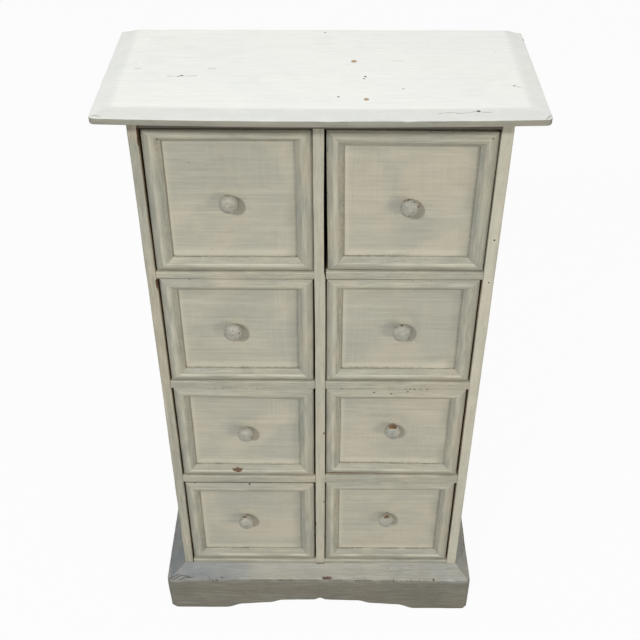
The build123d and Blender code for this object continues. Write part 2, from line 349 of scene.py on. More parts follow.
def make_piece(
    name: str, skins: Sequence[Skin], finishes: Sequence[Material]
) -> bpy.types.Object:
    """Writes one or more skins as one object.

    Args:
        name: Name of the piece.
        skins: Closed skins, each with the index of its finish.
        finishes: Materials that the indices mean.

    Returns:
        The new object, smooth shaded and in the frame of the part.
    """
    points = np.concatenate([skin.points for skin in skins]) * METRES
    points = np.clip(points, np.array(CAD_BOX[0]), np.array(CAD_BOX[1]))
    faces: list[tuple[int, ...]] = []
    marks: list[int] = []
    start = 0
    for skin in skins:
        faces += [tuple(start + i for i in face) for face in skin.faces]
        marks += skin.face_finishes()
        start += len(skin.points)
    mesh = bpy.data.meshes.new(name)
    mesh.from_pydata(points.tolist(), [], faces)
    for finish in finishes:
        mesh.materials.append(finish)
    mesh.polygons.foreach_set("material_index", marks)
    for mask in MASKS:
        parts = [getattr(skin, mask) for skin in skins]
        none = [np.zeros(len(skin.points)) for skin in skins]
        values = np.concatenate([n if part is None else part for part, n in zip(parts, none)])
        layer = mesh.attributes.new(mask, "FLOAT", "POINT")
        layer.data.foreach_set("value", np.clip(values, 0.0, 1.0).astype(np.float32))
    mesh.validate()
    mesh.set_sharp_from_angle(angle=math.radians(SHARP_ANGLE))
    piece = bpy.data.objects.new(name, mesh)
    bpy.context.collection.objects.link(piece)
    return piece


def dress(node: str, body: str, skins: Sequence[Skin], finishes: Sequence[Material]) -> None:
    """Puts painted skins in the place of a CAD node.

    Args:
        node: CAD node that they hide and stand for.
        body: Body that they move with.
        skins: Closed skins, each with the index of its finish.
        finishes: Materials that the indices mean.
    """
    piece = make_piece(f"{node}_painted", skins, finishes)
    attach(piece, body)
    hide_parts(node)
    LOG.info("%s: %d points, rides on %s", piece.name, len(piece.data.vertices), body)


def finish_node(node: str, finish: Material) -> None:
    """Puts one finish on every face of a CAD node that stays in view.

    Args:
        node: Name of the node.
        finish: Its finish.
    """
    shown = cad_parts[node]
    if not shown.data.materials:
        shown.data.materials.append(finish)
    for slot in shown.material_slots:
        slot.material = finish
    LOG.info("%s: CAD node, finish %s", node, finish.name)


def dent(skin: Skin, centre: Sequence[float], size: Sequence[float], depth: float) -> None:
    """Presses a smooth hollow into a skin.

    Args:
        skin: Skin to press.
        centre: Middle of the hollow.
        size: Reach of the hollow along each axis.
        depth: How deep it is in its middle.
    """
    reach = np.linalg.norm((skin.points - np.array(centre)) / np.array(size), axis=1)
    skin.push(-depth * smooth_step(reach, *DENT_EDGE))


# Finishes


@dataclass(frozen=True)
class Spot:
    """Small place where the paint is gone or filled, in the frame of the part."""

    centre: Vector3
    size: Vector3


@dataclass(frozen=True)
class Crack:
    """Thin crack in the paint, from one place to another on the part."""

    start: Vector3
    end: Vector3
    width: float = 0.9
    faces: Vector3 = (1.0, 1.0, 0.0)


FAR_AWAY = 9.0
CRACK_WOBBLE = 3.5
WOBBLES_PER_METRE = 130.0

# Marks in clouds of noise: they start at the first value and are full at the second.
WARM_CLOUDS: Band = (0.36, 0.64)
CROSSED_PLACES: Band = (0.46, 0.62)
PALE_BANDS: Band = (0.48, 0.74)
DULL_BANDS: Band = (0.46, 0.24)
PALE_HAIRS: Band = (0.46, 0.76)
DARK_HAIRS: Band = (0.48, 0.22)
DARK_GRIT: Band = (0.50, 0.36)
PALE_GRIT: Band = (0.50, 0.64)
STAINS: Band = (0.50, 0.82)
SPECKS: Band = (0.66, 0.74)
CREASE_GRAINS: Band = (0.40, 0.60)
CREASE_PARTS: Band = (0.36, 0.58)
BROWN_PLACES: Band = (0.40, 0.62)

# Edges of spots and cracks: from just outside their own outline, at 1, to just inside.
HALO_EDGE: Band = (1.1, 0.2)
CHIP_EDGE: Band = (1.08, 0.90)
PLUG_RIM: Band = (1.25, 1.0)
PLUG_EDGE: Band = (1.0, 0.80)
HOLE_EDGE: Band = (1.15, 0.75)
CRACK_EDGE: Band = (1.3, 0.5)


class Nodes:
    """Adds the nodes of one material and joins them."""

    def __init__(self, name: str) -> None:
        """Starts a material that has only its surface and output.

        Args:
            name: Name of the material.
        """
        self.material = bpy.data.materials.new(name)
        self.material.use_nodes = True
        self.tree = self.material.node_tree
        self.surface = self.tree.nodes["Principled BSDF"]
        self.place = self.add("ShaderNodeTexCoord").outputs["Object"]

    def add(self, kind: str, **settings: object) -> bpy.types.Node:
        """Adds a node.

        Args:
            kind: Kind of node.
            **settings: Properties to set on it.

        Returns:
            The new node.
        """
        node = self.tree.nodes.new(kind)
        for key, value in settings.items():
            setattr(node, key, value)
        return node

    def feed(self, socket: Socket, value: object) -> None:
        """Links a socket to an output, or sets it to a plain value.

        Args:
            socket: Socket to feed.
            value: Output of another node, number, vector or colour.
        """
        if isinstance(value, Socket):
            self.tree.links.new(value, socket)
        elif isinstance(value, tuple) and len(value) == 3 and socket.type == "RGBA":
            socket.default_value = (*value, 1.0)
        else:
            socket.default_value = value

    def math(
        self, operation: str, first: object, second: object = 0.0, clamp: bool = False
    ) -> Socket:
        """Works out one sum.

        Args:
            operation: Name of the sum.
            first: First number.
            second: Second number, where the sum has one.
            clamp: Whether the result is kept between 0 and 1.

        Returns:
            The result's socket.
        """
        node = self.add("ShaderNodeMath", operation=operation, use_clamp=clamp)
        self.feed(node.inputs[0], first)
        self.feed(node.inputs[1], second)
        return node.outputs[0]

    def vector(self, operation: str, first: object, second: object) -> Socket:
        """Works out one sum on vectors whose result is a vector.

        Args:
            operation: Name of the sum.
            first: First vector.
            second: Second vector.

        Returns:
            The result's socket.
        """
        node = self.add("ShaderNodeVectorMath", operation=operation)
        self.feed(node.inputs[0], first)
        self.feed(node.inputs[1], second)
        return node.outputs["Vector"]

    def measure(self, operation: str, *vectors: object) -> Socket:
        """Works out one number from vectors, such as a length.

        Args:
            operation: Name of the sum.
            *vectors: One or two vectors.

        Returns:
            The number's socket.
        """
        node = self.add("ShaderNodeVectorMath", operation=operation)
        for socket, value in zip(node.inputs, vectors):
            self.feed(socket, value)
        return node.outputs["Value"]

    def noise(
        self,
        scale: float,
        detail: float = 3.0,
        roughness: float = 0.55,
        stretch: Vector3 | None = None,
        shift: float = 0.0,
        distortion: float = 0.0,
    ) -> Socket:
        """Cloudy value from 0 to 1.

        Args:
            scale: Clouds per metre, or 1 where stretch gives them.
            detail: How many finer clouds lie on the large ones.
            roughness: How strong the finer clouds are.
            stretch: Clouds per metre along each axis.
            shift: Distance that this cloud is moved, so that no two are alike.
            distortion: How much the clouds curl.

        Returns:
            The value's socket.
        """
        place = self.place
        if stretch is not None:
            place = self.vector("MULTIPLY", place, stretch)
        if shift:
            place = self.vector("ADD", place, (shift, -0.7 * shift, 0.4 * shift))
        node = self.add("ShaderNodeTexNoise")
        settings = {
            "Vector": place,
            "Scale": scale,
            "Detail": detail,
            "Roughness": roughness,
            "Distortion": distortion,
        }
        for socket, value in settings.items():
            self.feed(node.inputs[socket], value)
        return node.outputs["Fac"]

    def band(self, value: object, start: float, end: float) -> Socket:
        """Brings a value to 0 at start and 1 at end, with a soft turn at both.

        Args:
            value: Value to bring there.
            start: Where the result is 0.
            end: Where the result is 1.

        Returns:
            The result's socket.
        """
        node = self.add("ShaderNodeMapRange", interpolation_type="SMOOTHSTEP")
        self.feed(node.inputs["Value"], value)
        self.feed(node.inputs["From Min"], start)
        self.feed(node.inputs["From Max"], end)
        return node.outputs["Result"]

    def marks(self, value: object, bounds: Band, strength: float) -> Socket:
        """Share of a kind of mark, at most its strength."""
        return self.math("MULTIPLY", self.band(value, *bounds), strength)

    def mask(self, name: str) -> Socket:
        """The mesh's own mask of that name."""
        return self.add("ShaderNodeAttribute", attribute_name=name).outputs["Fac"]

    def mix(self, share: object, first: object, second: object) -> Socket:
        """Mixes two colours.

        Args:
            share: Share of the second colour.
            first: Colour at 0.
            second: Colour at 1.

        Returns:
            The colour's socket.
        """
        node = self.add("ShaderNodeMix", data_type="RGBA")
        for socket, value in zip((0, 6, 7), (share, first, second)):
            self.feed(node.inputs[socket], value)
        return node.outputs[2]

    def blend(self, share: object, first: object, second: object) -> Socket:
        """Mixes two numbers.

        Args:
            share: Share of the second number.
            first: Number at 0.
            second: Number at 1.

        Returns:
            The number's socket.
        """
        node = self.add("ShaderNodeMix", data_type="FLOAT")
        for socket, value in zip((0, 2, 3), (share, first, second)):
            self.feed(node.inputs[socket], value)
        return node.outputs[0]

    def mix_share(self, share: object, cloud: object) -> Socket:
        """Share of a mix, weaker where a cloud is low."""
        return self.math("MULTIPLY", share, self.math("ADD", cloud, 0.5), clamp=True)

    def near(self, spots: Sequence[Spot], ragged: object) -> Socket:
        """How far inside the nearest of some spots a point is.

        Args:
            spots: Places and sizes of the spots.
            ragged: Value round 0 that makes their outlines uneven.

        Returns:
            Socket that is below 1 inside a spot.
        """
        nearest: object = FAR_AWAY
        for spot in spots:
            centre = tuple(value * METRES for value in spot.centre)
            size = tuple(1.0 / (value * METRES) for value in spot.size)
            offset = self.vector("MULTIPLY", self.vector("SUBTRACT", self.place, centre), size)
            nearest = self.math("MINIMUM", nearest, self.measure("LENGTH", offset))
        return self.math("ADD", nearest, ragged)

    def near_cracks(self, cracks: Sequence[Crack], ragged: object) -> Socket:
        """How near the nearest of some cracks a point is.

        Args:
            cracks: Ends and widths of the cracks.
            ragged: Value round 0 that makes their edges uneven.

        Returns:
            Socket that is 1 at a crack's own edge, and less inside it.
        """
        cloud = self.add("ShaderNodeTexNoise")
        self.feed(cloud.inputs["Vector"], self.place)
        self.feed(cloud.inputs["Scale"], WOBBLES_PER_METRE)
        wobble = self.vector("SUBTRACT", cloud.outputs["Color"], (0.5, 0.5, 0.5))
        wobble = self.vector("MULTIPLY", wobble, (CRACK_WOBBLE * METRES,) * 3)
        place = self.vector("ADD", self.place, wobble)
        nearest: object = FAR_AWAY
        for crack in cracks:
            start = np.array(crack.start) * METRES
            way = np.array(crack.end) * METRES - start
            offset = self.vector("SUBTRACT", place, tuple(start))
            offset = self.vector("MULTIPLY", offset, crack.faces)
            along = self.measure("DOT_PRODUCT", offset, tuple(way / float(way @ way)))
            share = self.math("MULTIPLY", along, 1.0, clamp=True)
            foot = self.add("ShaderNodeVectorMath", operation="SCALE")
            self.feed(foot.inputs[0], tuple(way))
            self.feed(foot.inputs["Scale"], share)
            gap = self.measure("DISTANCE", offset, foot.outputs["Vector"])
            reach = self.math("DIVIDE", gap, crack.width * METRES / 2.0)
            nearest = self.math("MINIMUM", nearest, reach)
        return self.math("ADD", nearest, ragged)

    def relief(self, height: object, depth: float) -> None:
        """Gives the surface a relief.

        Args:
            height: Value of its height, from 0 to 1.
            depth: Real depth of the relief, in millimetres.
        """
        node = self.add("ShaderNodeBump")
        self.feed(node.inputs["Height"], height)
        self.feed(node.inputs["Strength"], 1.0)
        self.feed(node.inputs["Distance"], depth * METRES)
        self.tree.links.new(node.outputs["Normal"], self.surface.inputs["Normal"])


@dataclass(frozen=True)
class Paint:
    """Off-white paint, brushed by hand over wood, worn and grubby with age, with painted
    highlights and painted shade carried by its masks.
    """

    name: str
    run: Run
    cool: Colour = (0.384, 0.378, 0.320)
    warm: Colour = (0.466, 0.432, 0.346)
    light: Colour = (0.590, 0.560, 0.450)
    shade: Colour = (0.285, 0.272, 0.218)
    # Undercoat colour, which is also the colour of the painted shade in the thin mask.
    undercoat_and_shade: Colour = (0.282, 0.280, 0.232)
    # Dirt colour, which is also the colour of the painted shade in the grime mask.
    dirt_and_shade_colour: Colour = (0.120, 0.100, 0.068)
    nick: Colour = (0.070, 0.045, 0.026)
    wood: Colour = (0.190, 0.088, 0.034)
    filler: Colour = (0.400, 0.262, 0.120)
    hollow: Colour = (0.035, 0.027, 0.020)
    crossed: bool = False
    nicked: float = 0.72
    worn_nicks: float = 0.20
    grubby: float = 0.08
    gritty: float = 0.30
    hair_light: float = 0.32
    hair_shade: float = 0.32
    band_light: float = 0.28
    band_shade: float = 0.18
    halo_light: float = 0.55
    # Share of the pale mask: rubbed paint, and painted highlights.
    highlight_and_rub_light: float = 0.8
    # Share of the thin mask: thin paint, and painted shade.
    thin_and_shade_share: float = 0.75
    cloud_scale: float = 9.0
    dullest: float = 0.42
    relief_depth: float = 0.22
    chips: tuple[Spot, ...] = ()
    plugs: tuple[Spot, ...] = ()
    pales: tuple[Spot, ...] = ()
    holes: tuple[Spot, ...] = ()
    cracks: tuple[Crack, ...] = ()
    seed: float = 0.0

    def brushing(self, nodes: Nodes) -> Socket:
        """Brush marks, which run one way or, in places of a crossed paint, the other.

        Args:
            nodes: Nodes of the material.

        Returns:
            The value's socket.
        """
        hairs = nodes.noise(1.0, 3.0, 0.6, stretch=self.run.value, shift=self.seed)
        if not self.crossed:
            return hairs
        other = nodes.noise(1.0, 3.0, 0.6, stretch=Run.UPRIGHT.value, shift=self.seed + 5.0)
        places = nodes.noise(9.0, 2.0, shift=self.seed + 3.1)
        return nodes.blend(nodes.marks(places, CROSSED_PLACES, 0.7), hairs, other)

    def clean_colour(self, nodes: Nodes, hairs: object, mottle: object) -> Socket:
        """Colour of the paint before dirt and wear.

        Args:
            nodes: Nodes of the material.
            hairs: Value of the brush marks.
            mottle: Fine clouds that break up the larger marks.

        Returns:
            The colour's socket: clouds, broad bands, hairs, grit, and the pale and thin masks,
            which hold rubbed and thin paint as well as painted highlights and painted shade.
        """
        clouds = nodes.noise(self.cloud_scale, 4.0, 0.55, shift=self.seed + 1.3, distortion=0.7)
        colour = nodes.mix(nodes.band(clouds, *WARM_CLOUDS), self.cool, self.warm)
        broad, drawn = self.run.stretched(0.45, 0.30), self.run.stretched(3.2, 1.25)
        bands = nodes.noise(1.0, 3.0, 0.6, stretch=broad, shift=self.seed + 9.4)
        grit = nodes.noise(1.0, 3.0, 0.65, stretch=drawn, shift=self.seed + 12.3)
        pale = nodes.mix_share(nodes.marks(bands, PALE_BANDS, self.band_light), mottle)
        colour = nodes.mix(pale, colour, self.light)
        for value, bounds, strength, tone in (
            (bands, DULL_BANDS, self.band_shade, self.shade),
            (hairs, PALE_HAIRS, self.hair_light, self.light),
            (hairs, DARK_HAIRS, self.hair_shade, self.shade),
            (grit, DARK_GRIT, self.gritty, self.shade),
            (grit, PALE_GRIT, self.gritty, self.light),
        ):
            colour = nodes.mix(nodes.marks(value, bounds, strength), colour, tone)
        if self.pales:
            halo = nodes.near(self.pales, nodes.math("SUBTRACT", mottle, 0.5))
            colour = nodes.mix(nodes.marks(halo, HALO_EDGE, self.halo_light), colour, self.light)
        for mask, strength, tone in (
            ("pale", self.highlight_and_rub_light, self.light),
            ("thin_and_shade", self.thin_and_shade_share, self.undercoat_and_shade),
        ):
            share = nodes.mix_share(nodes.mask(mask), mottle)
            colour = nodes.mix(nodes.math("MULTIPLY", share, strength), colour, tone)
        return colour

    def dirt_and_shade_share(self, nodes: Nodes) -> Socket:
        """Share of dirt and painted shade: faint stains everywhere, and broken lines where the
        grime mask holds crease dirt and painted shade.

        Args:
            nodes: Nodes of the material.

        Returns:
            The share's socket.
        """
        stain = nodes.marks(
            nodes.noise(19.0, 5.0, 0.7, shift=self.seed + 2.2), STAINS, self.grubby * 2.0
        )
        specks = nodes.marks(
            nodes.noise(210.0, 3.0, 0.6, shift=self.seed + 4.9), SPECKS, self.grubby * 3.5
        )
        stain = nodes.math("MAXIMUM", stain, specks)
        grains = nodes.band(nodes.noise(170.0, 4.0, 0.7, shift=self.seed + 8.8), *CREASE_GRAINS)
        parts = nodes.marks(nodes.noise(16.0, 2.0, 0.5, shift=self.seed + 6.1), CREASE_PARTS, 0.75)
        broken = nodes.math("MULTIPLY", grains, nodes.math("ADD", parts, 0.25))
        broken = nodes.math("ADD", nodes.math("MULTIPLY", broken, 0.90), 0.10)
        # The grime mask holds painted shade as well as crease dirt.
        crease_and_shade = nodes.math("MULTIPLY", nodes.mask("grime_and_shade"), broken)
        return nodes.math("MAXIMUM", stain, nodes.math("MULTIPLY", crease_and_shade, 0.85), clamp=True)

    def damage(self, nodes: Nodes, colour: object, level: object) -> tuple[Socket, Socket]:
        """Adds nicks, chips, filled plugs, holes and cracks.

        Args:
            nodes: Nodes of the material.
            colour: Colour of the whole paint.
            level: Height of its brush marks.

        Returns:
            Sockets of the colour and of the height with the damage in them.
        """
        ragged = nodes.noise(260.0, 4.0, 0.65, shift=self.seed + 4.4)
        uneven = nodes.math("MULTIPLY", nodes.math("SUBTRACT", ragged, 0.5), 1.6)
        small = nodes.noise(330.0, 3.0, 0.6, shift=self.seed + 6.6)
        worn = nodes.math("MULTIPLY", nodes.mask("wear"), self.worn_nicks)
        small = nodes.math("ADD", worn, small)
        bare = nodes.band(small, self.nicked, self.nicked + 0.05)
        colour = nodes.mix(bare, colour, self.nick)
        if self.chips:
            chip = nodes.band(nodes.near(self.chips, uneven), *CHIP_EDGE)
            brown = nodes.mix(nodes.band(ragged, *BROWN_PLACES), self.nick, self.wood)
            colour = nodes.mix(chip, colour, brown)
            bare = nodes.math("MAXIMUM", bare, chip)
        if self.plugs:
            reach = nodes.near(self.plugs, nodes.math("MULTIPLY", uneven, 0.35))
            colour = nodes.mix(nodes.band(reach, *PLUG_RIM), colour, self.nick)
            colour = nodes.mix(nodes.band(reach, *PLUG_EDGE), colour, self.filler)
        level = nodes.math("SUBTRACT", level, nodes.math("MULTIPLY", bare, 0.6))
        if self.holes:
            reach = nodes.near(self.holes, nodes.math("MULTIPLY", uneven, 0.5))
            hole = nodes.band(reach, *HOLE_EDGE)
            colour = nodes.mix(hole, colour, self.hollow)
            level = nodes.math("SUBTRACT", level, nodes.math("MULTIPLY", hole, 2.0))
        if self.cracks:
            crack = nodes.band(nodes.near_cracks(self.cracks, uneven), *CRACK_EDGE)
            colour = nodes.mix(nodes.math("MULTIPLY", crack, 0.85), colour, self.nick)
            level = nodes.math("SUBTRACT", level, crack)
        return colour, level

    def make(self) -> Material:
        """Builds the material: brushed colour, dirt and painted shade, worn places and relief.

        Returns:
            The material.
        """
        nodes = Nodes(self.name)
        hairs = self.brushing(nodes)
        mottle = nodes.noise(60.0, 5.0, 0.65, shift=self.seed + 7.7)
        colour = self.clean_colour(nodes, hairs, mottle)
        colour = nodes.mix(self.dirt_and_shade_share(nodes), colour, self.dirt_and_shade_colour)
        level = nodes.blend(0.5, hairs, mottle)
        colour, level = self.damage(nodes, colour, level)
        nodes.feed(nodes.surface.inputs["Base Color"], colour)
        sheen = nodes.math("MULTIPLY", mottle, 0.25)
        nodes.feed(nodes.surface.inputs["Roughness"], nodes.math("ADD", sheen, self.dullest))
        nodes.relief(level, self.relief_depth)
        return nodes.material


@dataclass(frozen=True)
class BareWood:
    """Unpainted softwood, browned by age, with the grain along one way."""

    name: str
    grain: Vector3
    facing_grain: Vector3 | None = None
    pale: Colour = (0.440, 0.290, 0.165)
    dark: Colour = (0.280, 0.168, 0.084)
    aged: Colour = (0.33, 0.22, 0.13)
    dullest: float = 0.62
    relief_depth: float = 0.25

    def grain_lines(
        self, nodes: Nodes, fineness: float, detail: float, shift: float, distortion: float = 0.0
    ) -> Socket:
        """Value of the grain, which may run its own way on boards that face front or back.

        Args:
            nodes: Nodes of the material.
            fineness: How many times finer than the growth lines.
            detail: How many finer lines lie on the large ones.
            shift: Distance that the lines are moved.
            distortion: How much the lines curl.

        Returns:
            The value's socket.
        """
        grains = (self.grain,) if self.facing_grain is None else (self.grain, self.facing_grain)
        stretches = [tuple(fineness * value for value in grain) for grain in grains]
        values = [nodes.noise(1.0, detail, 0.6, way, shift, distortion) for way in stretches]
        if self.facing_grain is None:
            return values[0]
        parts = nodes.add("ShaderNodeSeparateXYZ")
        nodes.feed(parts.inputs[0], nodes.add("ShaderNodeTexCoord").outputs["Normal"])
        facing = nodes.band(nodes.math("ABSOLUTE", parts.outputs["Y"]), 0.4, 0.6)
        return nodes.blend(facing, *values)

    def make(self) -> Material:
        """Builds the material: growth lines, pores and a dry surface.

        Returns:
            The material.
        """
        nodes = Nodes(self.name)
        lines = self.grain_lines(nodes, 1.0, 5.0, 2.0, 0.4)
        pores = self.grain_lines(nodes, 4.5, 2.0, 4.0)
        clouds = nodes.noise(8.0, 3.0, 0.6, shift=1.0)
        colour = nodes.mix(nodes.band(lines, 0.35, 0.68), self.dark, self.pale)
        colour = nodes.mix(nodes.marks(pores, (0.60, 0.75), 0.45), colour, self.dark)
        colour = nodes.mix(nodes.math("MULTIPLY", clouds, 0.35), colour, self.aged)
        nodes.feed(nodes.surface.inputs["Base Color"], colour)
        dryness = nodes.math("ADD", nodes.math("MULTIPLY", pores, 0.2), self.dullest)
        nodes.feed(nodes.surface.inputs["Roughness"], dryness)
        height = nodes.math("ADD", lines, nodes.math("MULTIPLY", pores, 0.5))
        nodes.relief(height, self.relief_depth)
        return nodes.material


@dataclass(frozen=True)
class NailSteel:
    """Dull wire nails, spotted with rust."""

    name: str
    bright: Colour = (0.30, 0.29, 0.27)
    rust: Colour = (0.16, 0.07, 0.03)
    smoothest: float = 0.42
    relief_depth: float = 0.06

    def make(self) -> Material:
        """Builds the material: grey steel with patches of rust.

        Returns:
            The material.
        """
        nodes = Nodes(self.name)
        patches = nodes.noise(420.0, 5.0, 0.7, shift=3.0)
        rusty = nodes.band(patches, 0.42, 0.60)
        roughness = nodes.math("ADD", nodes.math("MULTIPLY", rusty, 0.4), self.smoothest)
        colour = nodes.mix(rusty, self.bright, self.rust)
        nodes.feed(nodes.surface.inputs["Base Color"], colour)
        nodes.feed(nodes.surface.inputs["Metallic"], nodes.band(rusty, 1.0, 0.2))
        nodes.feed(nodes.surface.inputs["Roughness"], roughness)
        nodes.relief(patches, self.relief_depth)
        return nodes.material


# The chest


@dataclass
class Carcass:
    """Still boards of the chest: top, sides, partition, shelves and floor."""

    arris: float = 1.2
    back_arris: float = 0.6
    top_arris: float = 1.1
    corner_radius: float = 8.0
    bevel_width: float = 22.0
    bevel_drop: float = 4.0
    bevel_turn: float = 3.0
    end_bevel_shade: float = 0.45
    top_bow: float = 6.0
    bow_reach: float = 90.0
    top_slow: Band = (0.30, 190.0)
    top_quick: Band = (0.12, 38.0)
    board_slow: Band = (0.22, 120.0)
    board_quick: Band = (0.10, 24.0)
    spacing: float = 5.0
    rebate: float = 8.0
    back_thickness: float = 5.0
    housing: float = 0.4
    partition_lean: float = 1.9
    partition_slim_heights: tuple[float, ...] = (694.0, 704.0, 900.0)
    partition_slimness: tuple[float, ...] = (0.0, 1.6, 0.8)
    planed: dict[tuple[int, Column], tuple[float, float]] = field(
        default_factory=lambda: {
            (1, Column.LEFT): (2.5, 2.5),
            (1, Column.RIGHT): (0.3, 1.7),
            (3, Column.LEFT): (2.6, 3.3),
        }
    )
    floor_planed: float = 3.2
    slim_heights: tuple[float, ...] = (100.0, 300.0, 400.0, 500.0, 690.0, 712.0, 938.0)
    slimness: tuple[float, ...] = (1.2, 1.0, 0.7, 1.1, 1.7, 2.5, 2.5)
    body: str = "carcass"

    def left_slimness(self, height: np.ndarray) -> np.ndarray:
        """How much slimmer the left side board was planed, at each height."""
        return np.interp(height, self.slim_heights, self.slimness)

    def make_top_board(self, top: Material, edge_paint: Material) -> None:
        """Thin top with a wide worn bevel on its front and two ends, the bevel in painted shade.

        Args:
            top: Paint of its upper side.
            edge_paint: Paint of its edges and underside.
        """
        low, high = box_of("top_board")
        square_front = low[1] + self.top_bow
        skin = board_skin((low[0], square_front, low[2]), high, self.top_arris, self.spacing)
        x, y, z = skin.points.T
        front_share = smooth_step(y, square_front + self.bow_reach, square_front)
        bow = self.top_bow * (1.0 - (x / high[0]) ** 2)
        inward = np.minimum(np.minimum(x - low[0], high[0] - x), y - square_front)
        drop = self.bevel_drop * np.clip(1.0 - inward / self.bevel_width, 0.0, 1.0)
        lifted = (z - low[2]) / (high[2] - low[2])
        skin.points[:, 1] = y - bow * front_share
        skin.points[:, 2] = z - drop * lifted
        hand_work = unevenness(skin.points, self.top_slow, self.top_quick, 11)
        upper = smooth_step(lifted, 0.3, 0.9)
        arris = skin.wear * upper
        dents = Ripple(0.9, 26.0, 13).patches(skin.points, -0.2, 0.0, 0.9)
        skin.push((hand_work - 0.3) * upper * (1.0 - skin.wear) - 0.1 - arris * dents)
        self.wear_corners(skin, low, high)
        skin.wear = arris * Ripple(0.6, 30.0, 14).patches(skin.points, 0.3)
        # Painted shade on the bevel: full on the front, weaker on the two ends.
        to_end = np.minimum(x - low[0], high[0] - x)
        edge, turn = self.bevel_width, self.bevel_turn
        bevelled = smooth_step(inward, edge + turn, edge - turn)
        skin.thin_and_shade = bevelled * upper * np.where(y - square_front < to_end, 1.0, self.end_bevel_shade)
        skin.level_finish = 1
        dress("top_board", self.body, [skin], [edge_paint, top])

    def wear_corners(self, skin: Skin, low: np.ndarray, high: np.ndarray) -> None:
        """Rounds the two front corners of the top in plan.

        Args:
            skin: The top.
            low: Its lowest corner in the CAD.
            high: Its highest corner there.
        """
        radius = self.corner_radius
        for sign in (-1.0, 1.0):
            centre = np.array([sign * (high[0] - radius), low[1] + self.top_bow + radius])
            offset = skin.points[:, :2] - centre
            outside = (offset[:, 0] * sign > 0.0) & (offset[:, 1] < 0.0)
            reach = np.linalg.norm(offset, axis=1)
            pull = np.where(outside & (reach > radius), radius / np.maximum(reach, 1e-6), 1.0)
            skin.points[:, :2] = centre + offset * pull[:, None]

    def make_side(self, column: Column, paint: Material, bare: Material) -> None:
        """Side board, rebated at the back, whose front edge is the outer stile.

        Args:
            column: Side of the chest.
            paint: Paint of its front edge and outer face.
            bare: Wood of its inner face.
        """
        node = f"{column.value}_side"
        low, high = box_of(node)
        sign, seed = (-1.0, 21) if column is Column.LEFT else (1.0, 31)
        inner, outer = (high[0], low[0]) if sign < 0 else (low[0], high[0])
        rebate_x = inner + sign * self.rebate
        rebate_y = high[1] - self.back_thickness
        section = rounded_section(
            [
                (inner, low[1], self.arris),
                (outer, low[1], self.arris * 1.5),
                (outer, high[1], self.arris),
                (rebate_x, high[1], self.back_arris),
                (rebate_x, rebate_y, 0.0),
                (inner, rebate_y, self.back_arris),
            ]
        )
        skin = self.sweep_upright(section, low[2], high[2] - 0.2, seed)
        if column is Column.LEFT:
            inside = smooth_step(skin.points[:, 0], outer + 5.0, inner - 3.0)
            skin.points[:, 0] -= inside * self.left_slimness(skin.points[:, 2])
        self.rub_stile(skin, low[1], seed + 1)
        outer_face = skin.outward[:, 0] * sign > 0.0
        skin.bare = np.where(outer_face, 0.0, skin.bare)
        patches = Ripple(0.8, 110.0, seed + 3).patches(skin.points)
        skin.thin_and_shade = np.where(outer_face, 0.5 * patches, 0.0)
        if column is Column.RIGHT:
            skin.pale = 0.8 * self.front_edge(skin, low[1])
        dress(node, self.body, [skin], [paint, bare])

    def make_partition(self, paint: Material, bare: Material) -> None:
        """Upright board between the two columns, whose front edge is the middle stile.

        Args:
            paint: Paint of its front edge.
            bare: Wood of its two faces.
        """
        low, high = box_of("centre_partition")
        section = rounded_section(
            [
                (low[0], low[1], self.arris),
                (high[0], low[1], self.arris),
                (high[0], high[1], self.back_arris),
                (low[0], high[1], self.back_arris),
            ]
        )
        notch = box_of("top_rail")
        foot = box_of("plinth_front")[1][2]
        skin = self.sweep_upright(section, foot, notch[0][2], seed=41)
        self.rub_stile(skin, low[1], seed=42)
        height = skin.points[:, 2]
        skin.points[:, 0] -= self.partition_lean * smooth_step(height, 560.0, 880.0)
        skin.points[:, 1] -= 0.35 * smooth_step(height, low[2] + 3.0, low[2] - 1.0)
        slim = np.interp(height, self.partition_slim_heights, self.partition_slimness)
        skin.points[:, 0] -= slim * smooth_step(skin.points[:, 0], -2.0, 3.0)
        skin.pale = 0.35 * self.front_edge(skin, low[1])
        start = (low[0], notch[1][1], notch[0][2] - 1.0)
        tongue = board_skin(start, tuple(high), self.back_arris, 12.0)
        tongue.finish = 1
        dress("centre_partition", self.body, [skin, tongue], [paint, bare])

    def front_edge(self, skin: Skin, front: float) -> np.ndarray:
        """Mask of the front edge of a board."""
        return smooth_step(skin.points[:, 1], front + 4.0, front + 1.0)

    def sweep_upright(self, section: np.ndarray, foot: float, head: float, seed: int) -> Skin:
        """Board of one section that stands upright, a little uneven along its length.

        Args:
            section: Points round the board, seen from above.
            foot: Height of its lower end.
            head: Height of its upper end.
            seed: Seed of its unevenness.

        Returns:
            The board.
        """
        line = filled_section(section, self.spacing)
        heights = np.linspace(foot, head, max(2, round((head - foot) / self.spacing)))
        rings = np.zeros((len(heights), len(line), 3))
        rings[:, :, :2] = line[None, :, :]
        rings[:, :, 2] = heights[:, None]
        skin = swept_skin(rings)
        skin.push(unevenness(skin.points, self.board_slow, self.board_quick, seed) - 0.25)
        return skin

    def rub_stile(self, skin: Skin, front: float, seed: int) -> None:
        """Rubs and dents the front arrises of an upright board, and bares it behind them.

        Args:
            skin: The board.
            front: Where its front edge is.
            seed: Seed of the dents.
        """
        y = skin.points[:, 1]
        turned = 1.0 - np.abs(skin.outward).max(axis=1)
        arris = self.front_edge(skin, front) * smooth_step(turned, 0.03, 0.25)
        skin.push(-arris * Ripple(0.55, 20.0, seed).patches(skin.points, most=0.7))
        skin.wear = arris * Ripple(0.6, 34.0, seed + 1).patches(skin.points, 0.45)
        skin.bare = smooth_step(y, front + 2.0, front + 7.0) * (np.abs(skin.outward[:, 0]) > 0.6)

